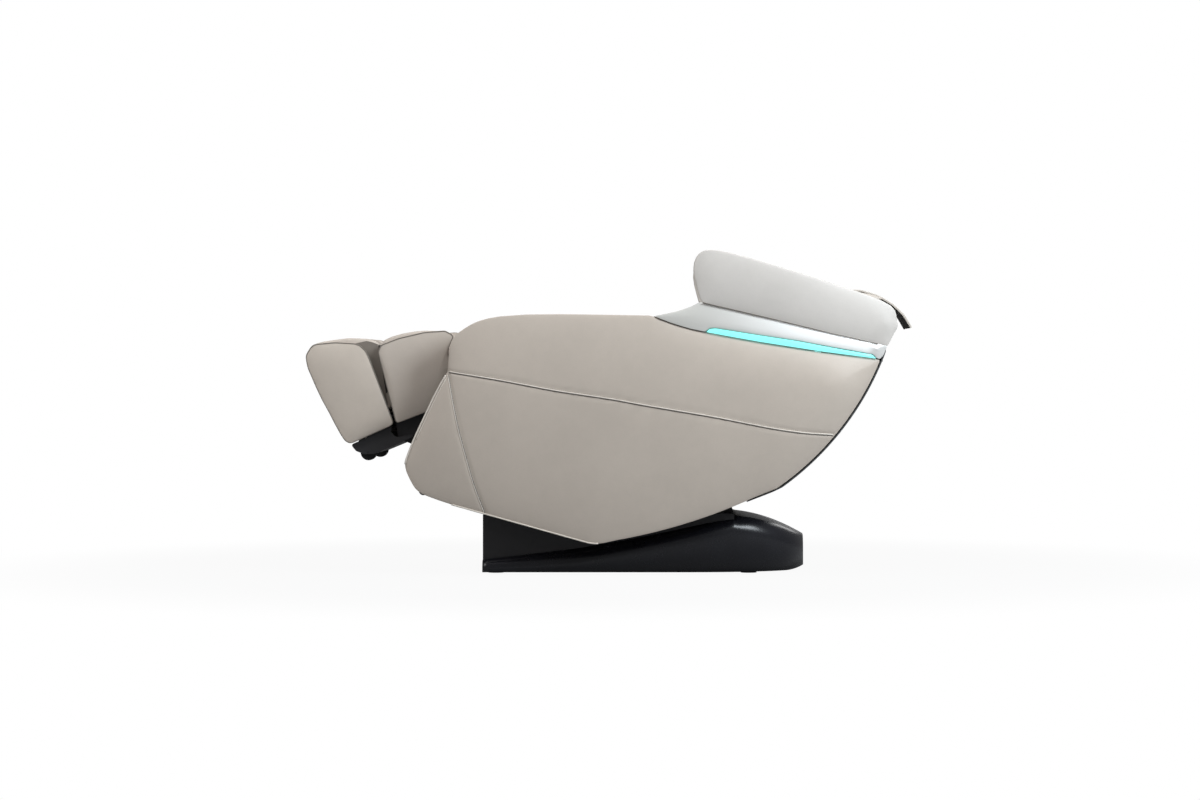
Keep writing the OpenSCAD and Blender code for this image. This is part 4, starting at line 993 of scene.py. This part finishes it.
arm_outline = even(
    chain([(-38, 338), (-462, 628, 8), (-466, 672)], 8)
    + [(-466, 672), (-458, 699), (-438, 721), (-408, 739), (-370, 751.5), (-320, 759.5), (-270, 762)]
    + chain([(-270, 762), (110, 762, 60), (262, 800)], 12)
    + [(262, 796), (420, 770), (470, 761), (560, 741), (640, 716)], 400, 6, False
)
arm_top = arm_outline[arm_outline[:, 1] > 690]
arm_top = arm_top[np.argsort(arm_top[:, 0])]
arm_low = np.array([(-465, 632), (-462, 629), (-38, 340), (468, 604), (640, 714)])
arm_gap, arm_roll, trough_floor, key_bed = 0.3, 9, 691, 737.0
trough_x, trough_y, trough_ends, trough_sides = (-404, 24), (272, 337), 14, 8
keys_x, keys_y = (30, 116), (273, 332)


def arm_shape(with_keys):
    """Forearm rest with its trough, as one padded body on the right side."""
    xs = np.concatenate([np.linspace(-464, -380, 40), np.linspace(-378, 636, 190)])
    ys = np.linspace(0, 1, 46)
    rings = []
    for x in xs:
        out = arm_out - (11 * float(smooth((x - 440) / 40)))
        y = arm_in + arm_gap + (out - arm_in - arm_gap) * ys
        crest = float(np.interp(x, arm_top[:, 0], arm_top[:, 1]))
        floor = float(np.interp(x, arm_low[:, 0], arm_low[:, 1]))
        edge = np.minimum(y - y[0], y[-1] - y)
        drop = arm_roll * (1 - np.sqrt(np.clip(1 - (1 - np.clip(edge / arm_roll, 0, 1)) ** 2, 0, 1)))
        mouth = smooth((y - trough_y[0]) / trough_sides) * smooth((trough_y[1] - y) / trough_sides)
        run = float(smooth((x - trough_x[0]) / trough_ends) * smooth((trough_x[1] - x) / trough_ends))
        z = crest - drop - (crest - trough_floor) * mouth * run
        if with_keys and keys_x[0] < x < keys_x[1]:
            z = np.where((y > keys_y[0]) & (y < keys_y[1]), key_bed, z)
        z = np.maximum(z, floor + 2)
        top = np.stack([np.full(len(y), x), y, z], 1)
        under = [
            (x, y[-1], (z[-1] + floor) / 2), (x, y[-1], floor),
            (x, y[0], floor), (x, y[0], (z[0] + floor) / 2),
        ]
        rings.append(np.vstack([top, under]))
    return skin(rings)


arm_right = piece("arm_leather_right", *arm_shape(True), PALE, "capsule", ["arm_right"], sharp=55)
arm_left = piece("arm_leather_left", *mirrored(arm_shape(False)), PALE, "capsule", ["arm_left"], sharp=55)
bag_thick, bag_half = 16, 24.5


def in_trough(p):
    return frame_of(V2(0, trough_floor - 0.6 + bag_thick), 0)(p) + np.array([0, sum(trough_y) / 2, 0])


bag_shape = pad(in_trough, -366, -14, bag_half, bag_thick, [-0.5, 0, 0.5], cols=26, rows=120, edge_roll=5.0)
airbags = piece("airbags", *both(bag_shape), AIRBAG, "capsule", ["arm_airbags"])

# ---------------------------------------------------------------- leg rest padding
calf_rim = np.array([
    (-62, 98), (-90, 112), (-123, 124), (-158, 133), (-190, 138), (-214, 138), (-227, 132), (-237, 120),
    (-242, 108),
], float)
foot_rim = np.array([
    (-238, 138), (-247, 151), (-262, 163), (-285, 175), (-312, 188), (-347, 199), (-381, 209), (-405, 213),
    (-419, 212), (-424, 210), (-433, 203), (-441, 188),
], float)
well_y, well_r, leg_low = 108.0, 62.0, -50.0
groove_half, groove_top = 25, -10
leg_roll, ridge_dip, seam_dip = 10, 16, 2.2


def well_share(y):
    """0 in the middle of a well and 1 outside the wells."""
    return 1 - np.maximum(0, 1 - (np.abs(np.abs(y) - well_y) / well_r) ** 3) ** 0.6


def leg_pad(rim, floor_n, lean, closed_end, grooved, rows=90, cols=150):
    """A leg rest pad; a grooved one leaves room underneath for the actuator's crank."""
    half = plate_in - 0.3
    under = [(-half, leg_low), (half, leg_low)]
    if grooved:
        under[1:1] = [
            (-groove_half, leg_low), (-groove_half, groove_top),
            (groove_half, groove_top), (groove_half, leg_low),
        ]
    d = np.r_[0, np.cumsum(np.linalg.norm(np.diff(rim, axis=0), axis=1))]
    t = np.linspace(0, d[-1], rows)
    line = relaxed(np.stack([np.interp(t, d, rim[:, 0]), np.interp(t, d, rim[:, 1])], 1), 1, closed=False)
    y = half * np.linspace(1, -1, cols)
    edge = np.minimum(1, (half - np.abs(y)) / leg_roll)
    shaped = 7 * (1 - np.sqrt(1 - (1 - edge) ** 2)), ridge_dip * np.exp(-((y / 26) ** 4))
    well_seam = np.exp(-(((np.abs(np.abs(y) - well_y) - 57) / 3.5) ** 2)) * seam_dip
    rings = []
    for x, high in line:
        wells = float(1 - smooth((-417 - x) / 6)) if closed_end else 1.0
        top = high - shaped[0] - shaped[1]
        n = floor_n + (top - floor_n) * (1 - wells * (1 - well_share(y)))
        n = n - well_seam * wells + 0.7 * np.sin(x * 0.21 + y * 0.03) * (1 - well_share(y)) * wells
        ring = np.stack([x + lean(x) * (high - n), y, n], 1)
        low = [(x + lean(x) * (high - low_n), low_y, low_n) for low_y, low_n in under]
        rings.append(np.vstack([ring, low]))
    verts, faces = skin(rings)
    return on_leg(verts), faces


calf_shape = leg_pad(calf_rim, 0.0, lambda x: -0.13 * ((x + 62) / 180) ** 4, False, True)
foot_shape = leg_pad(foot_rim, -6.0, lambda x: -0.27 * max(0, (x + 345) / 107), True, False)
calf_pad = piece("calf_pad", *calf_shape, PALE, "leg", ["calf_cushion"], sharp=60)
foot_pad = piece("foot_pad", *foot_shape, PALE, "foot", ["foot_cushion"], sharp=60)

side_out, side_crown = 241, 9
for name, outline, soften, a, b, node, body, finish in (
    ("calf_side", calf_outline, 5, (-650, 565), (-520, 600), "calf_shells", "leg", PALE),
    ("foot_side", foot_outline, 9, (-800, 610), (-725, 470), "foot_shells", "foot", FOOT),
):
    edge = even(outline, 360, soften)
    shape = crowned(edge, a, b, side_out, side_crown, plate_out, 0)
    piece(name + "_leather", *both(shape), finish, body, [node])
    loop = np.stack([edge[:, 0], np.full(len(edge), -side_out - 0.5), edge[:, 1]], 1)
    piece(name + "_piping", *both(tube(loop, 1.6, 8, closed=True)), PIPING_AND_SHADE, body)

# Woven back of the foot pad, seen in the gap beside the calf piece
back_rings = []
for t in np.linspace(0, 1, 24):
    s, n = -236.2 - 45 * t, 131 - 165 * t
    back_rings.append([(s, -218, n), (s, 218, n), (s - 2.5, 218, n), (s - 2.5, -218, n)])
piece("foot_pad_back", *skin(on_leg(back_rings)), LINING_AND_SHADE, "foot", sharp=60)


def plate_pair(line, y_from, y_to):
    """A flat plate on each side of the leg rest, cut to a line."""
    return both(skin([on_leg([(p[0], y, p[1]) for p in line]) for y in (y_from, y_to)]))


# Dark plates beside that back, painted shade on the recessed side of the foot pad, and guards under the calf
# piece over the guides
shade_plate_line = rounded([(-238, 134), (-250, 146, 4), (-264, 157, 4), (-300, 165), (-305, 60), (-287, -48)], 6)
guard_line = rounded([
    (-286, -100), (-166, -100, 6), (-178, -116, 10), (-250, -177, 12), (-268, -182, 6), (-300, -150, 8),
], 6)
piece("foot_pad_shade_plates", *plate_pair(shade_plate_line, -222.4, -221.3), PIPING_AND_SHADE, "foot", sharp=40)
piece("leg_guards", *plate_pair(guard_line, -214, -211), MATTE, "leg", sharp=40)

# Gaiter between the calf and the foot pieces, in soft folds
gaiter_y = np.linspace(-219, 219, 60)
gaiter_rings = []
for t in np.linspace(0, 1, 73):
    wave = 3.2 * math.sin(t * math.pi * 9) * math.sin(math.pi * t) ** 0.5
    shiver = 0.8 * np.sin(gaiter_y * 0.05 + 5 * t)
    top, low = (
        np.stack([np.full(len(gaiter_y), s), gaiter_y, n + shiver], 1)
        for s, n in ((-255.5 - 22 * t, -10 + wave), (-262.2 - 27 * t, -53 + wave * 1.3))
    )
    gaiter_rings.append(on_leg(np.vstack([top, low[::-1]])))
gaiter = piece("gaiter", *skin(gaiter_rings), PALE, None, sharp=80)
tuple(on_leg([-259, 0, -30]) * MM)
tuple(on_leg([-286, 0, -30]) * MM)
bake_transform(gaiter)

# ---------------------------------------------------------------- base
skirt_front, skirt_low, skirt_rear, skirt_wall = -387, 5, 578, 3
bend_x, dome_x = 200, 368
box_half, box_end = 0.2403, 0.3663


def skirt_top(x):
    """The skirt's height: a slow rise along the box, then the dome's fall."""
    if x < dome_x:
        return 42 + 0.1 * (x - skirt_front) + 0.0001 * (x - skirt_front) ** 2
    return 172 - 0.08 * (x - dome_x) - 0.0011 * (x - dome_x) ** 2


def skirt_foot(x):
    """Its lower edge, which turns up behind."""
    return skirt_low + 12 * max(0.0, (x - 520) / 58) ** 2


def skirt_half(x):
    return 270 * (1 if x < bend_x else math.sqrt(max(0.0, 1 - ((x - bend_x) / 390) ** 2.6)))


def skirt_ring(x):
    """One section across the skirt, from its left lower edge over the top to the right one."""
    w, h = skirt_half(x), skirt_top(x)
    r = min(46, h * 0.6, w * 0.6)
    a = np.radians(np.linspace(0, 90, 16))
    left = np.stack([-w + r - r * np.cos(a), h - r + r * np.sin(a)], 1)
    top = np.stack([np.linspace(-w + r, w - r, 24), h + 2 * (1 - np.linspace(-1, 1, 24) ** 2)], 1)
    right = left[::-1] * np.array([-1, 1])
    ring = np.vstack([[[-w, skirt_foot(x)]], left, top[1:-1], right, [[w, skirt_foot(x)]]])
    return np.stack([np.full(len(ring), x), ring[:, 0], ring[:, 1]], 1)


def cut_skirt():
    """The skirt's outer skin, opened where the inner box stands, and given its wall."""
    dome = bend_x + (skirt_rear - bend_x) * np.sin(np.linspace(0, math.pi / 2, 60))[1:]
    stations = np.concatenate([np.linspace(skirt_front, bend_x, 40), dome])
    mesh = mesh_of("base_skirt_skin", *skin([skirt_ring(x) for x in stations], closed=False, ends=False))
    bm = bmesh.new()
    bm.from_mesh(mesh)
    for at, out in (
        ((0, box_half, 0), (0, 1, 0)), ((0, -box_half, 0), (0, 1, 0)), ((box_end, 0, 0), (1, 0, 0))
    ):
        geom = bm.verts[:] + bm.edges[:] + bm.faces[:]
        bmesh.ops.bisect_plane(bm, geom=geom, plane_co=at, plane_no=out)
    middles = [(f, f.calc_center_median()) for f in bm.faces]
    gone = [f for f, middle in middles if middle.x < box_end and abs(middle.y) < box_half]
    bmesh.ops.delete(bm, geom=gone, context="FACES")
    loose = [v for v in bm.verts if not v.link_faces]
    bmesh.ops.delete(bm, geom=loose, context="VERTS")
    bmesh.ops.remove_doubles(bm, verts=bm.verts, dist=1e-5)
    bmesh.ops.recalc_face_normals(bm, faces=bm.faces)
    bm.to_mesh(mesh)
    bm.free()
    if sum(p.normal.z * p.area for p in mesh.polygons) < 0:
        mesh.flip_normals()
    mesh.polygons.foreach_set("use_smooth", [True] * len(mesh.polygons))
    mesh.materials.append(SATIN.material)
    made = linked("skirt_shell", mesh)
    wall = made.modifiers.new("wall", "SOLIDIFY")
    wall.thickness = skirt_wall * MM
    wall.offset = -1
    plain = settled(made)
    made.modifiers.clear()
    made.data = plain
    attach(made, "base")
    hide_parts("base_skirt")


cut_skirt()

# ---------------------------------------------------------------- finishes of the rigid parts
PAINT = {
    ENAMEL: [
        "base_frame", "carriage_frame", "seat_frame", "cross_tubes", "shell_hoops", "leg_frame", "foot_frame",
    ],
    STEEL: [
        "slide_rails", "tilt_actuator_rod", "tilt_shaft", "massage_rails", "travel_pinions", "knead_arm_left",
        "knead_arm_right", "lift_actuator_rod",
    ],
    MATTE: [
        "base_box_cover", "power_inlet", "air_pump", "tilt_actuator_body", "lift_actuator_body",
        "seat_underpan", "leg_underpan", "foot_sled",
    ],
    SATIN: ["power_switch", "control_panel"],
    GREYPL: ["power_unit", "valve_block", "recline_rocker", "leg_rocker", "massage_carriage"],
    RUBBER: ["rubber_feet", "transport_wheels", "foot_wheels"],
    ROLLER: [
        "roller_upper_left", "roller_lower_left", "roller_upper_right", "roller_lower_right", "foot_roller",
    ],
    BOARD: ["control_board"],
    GREEN: ["start_button"],
    SILVER: ["pause_button"],
}
for finish, names in PAINT.items():
    for name in names:
        for place in nodes[name].material_slots:
            place.material = finish.material

# ---------------------------------------------------------------- floor, lights and camera
def stage_material():
    """A matt floor that fades to plain white away from the chair."""
    f = Finish("studio white", "none", (0.22, 0.22, 0.22), 0.9)
    x, y = f.axis("X"), f.axis("Y")
    far = (x * x + y * y).ramp(1.3, 5.0)
    rays = f.node("ShaderNodeLightPath", output="Is Camera Ray")
    gloss = f.node("ShaderNodeLightPath", output="Is Glossy Ray")
    glow = f.node("ShaderNodeEmission", {}, {"Strength": 1.0})
    share = rays * (far * 0.06 + 0.94) + gloss * 0.12
    mix = f.node("ShaderNodeMixShader", {}, {0: share, 1: Wire(f, f.shader.outputs[0]), 2: glow})
    f.feed(f.tree.nodes["Material Output"].inputs["Surface"], mix)
    return f


floor_reach, floor_z = 30, -0.0005
floor_corners = [(x * floor_reach, y * floor_reach, floor_z) for x, y in ((-1, -1), (1, -1), (1, 1), (-1, 1))]
floor_mesh = bpy.data.meshes.new("floor")
floor_mesh.from_pydata(floor_corners, [], [(0, 1, 2, 3)])
floor_mesh.materials.append(stage_material().material)
floor = linked("floor", floor_mesh)

# A weak white sky that shows as plain white itself
sky_light, sky_seen = 0.22, 1.0
world = bpy.data.worlds.new("studio")
bpy.context.scene.world = world
world.use_nodes = True
sky = world.node_tree
background = sky.nodes["Background"]
background.inputs["Color"].default_value = (1, 1, 1, 1)
rays = sky.nodes.new("ShaderNodeLightPath")
pick = sky.nodes.new("ShaderNodeMix")
pick.inputs["A"].default_value = sky_light
pick.inputs["B"].default_value = sky_seen
sky.links.new(rays.outputs["Is Camera Ray"], pick.inputs["Factor"])
sky.links.new(pick.outputs[0], background.inputs["Strength"])


def softbox(name, at, aim, size, watts, colour=(1, 1, 1)):
    lamp = bpy.data.lights.new(name, "AREA")
    lamp.shape = "RECTANGLE"
    lamp.size, lamp.size_y = size
    lamp.energy = watts
    lamp.color = colour
    made = linked(name, lamp)
    made.location = at
    made.rotation_euler = (Vector(aim) - Vector(at)).to_track_quat("-Z", "Y").to_euler()


softbox("overhead", (0.4, -0.7, 3.6), (0.1, 0.0, 0.5), (4.0, 3.0), 74)
softbox("rear_key", (2.7, -2.3, 2.4), (0.45, 0.0, 0.6), (1.8, 1.6), 158, (0.87, 0.945, 1.0))
softbox("far_side", (1.6, 3.8, 2.4), (0.0, 0.0, 0.5), (3.0, 2.0), 40)
softbox("foot_fill", (-3.0, -1.8, 2.4), (-0.6, 0.0, 0.5), (1.6, 1.6), 42)

lens = bpy.data.cameras.new("camera")
lens.sensor_width = 36.0
lens.lens = 97.6
lens.shift_x, lens.shift_y = -0.075, -0.0258
camera = linked("camera", lens)
camera.location = (0.2335, -9.985, 0.612)
camera.rotation_euler = (math.radians(90), 0, 0)
bpy.context.scene.camera = camera
bpy.context.scene.view_settings.view_transform = "Standard"
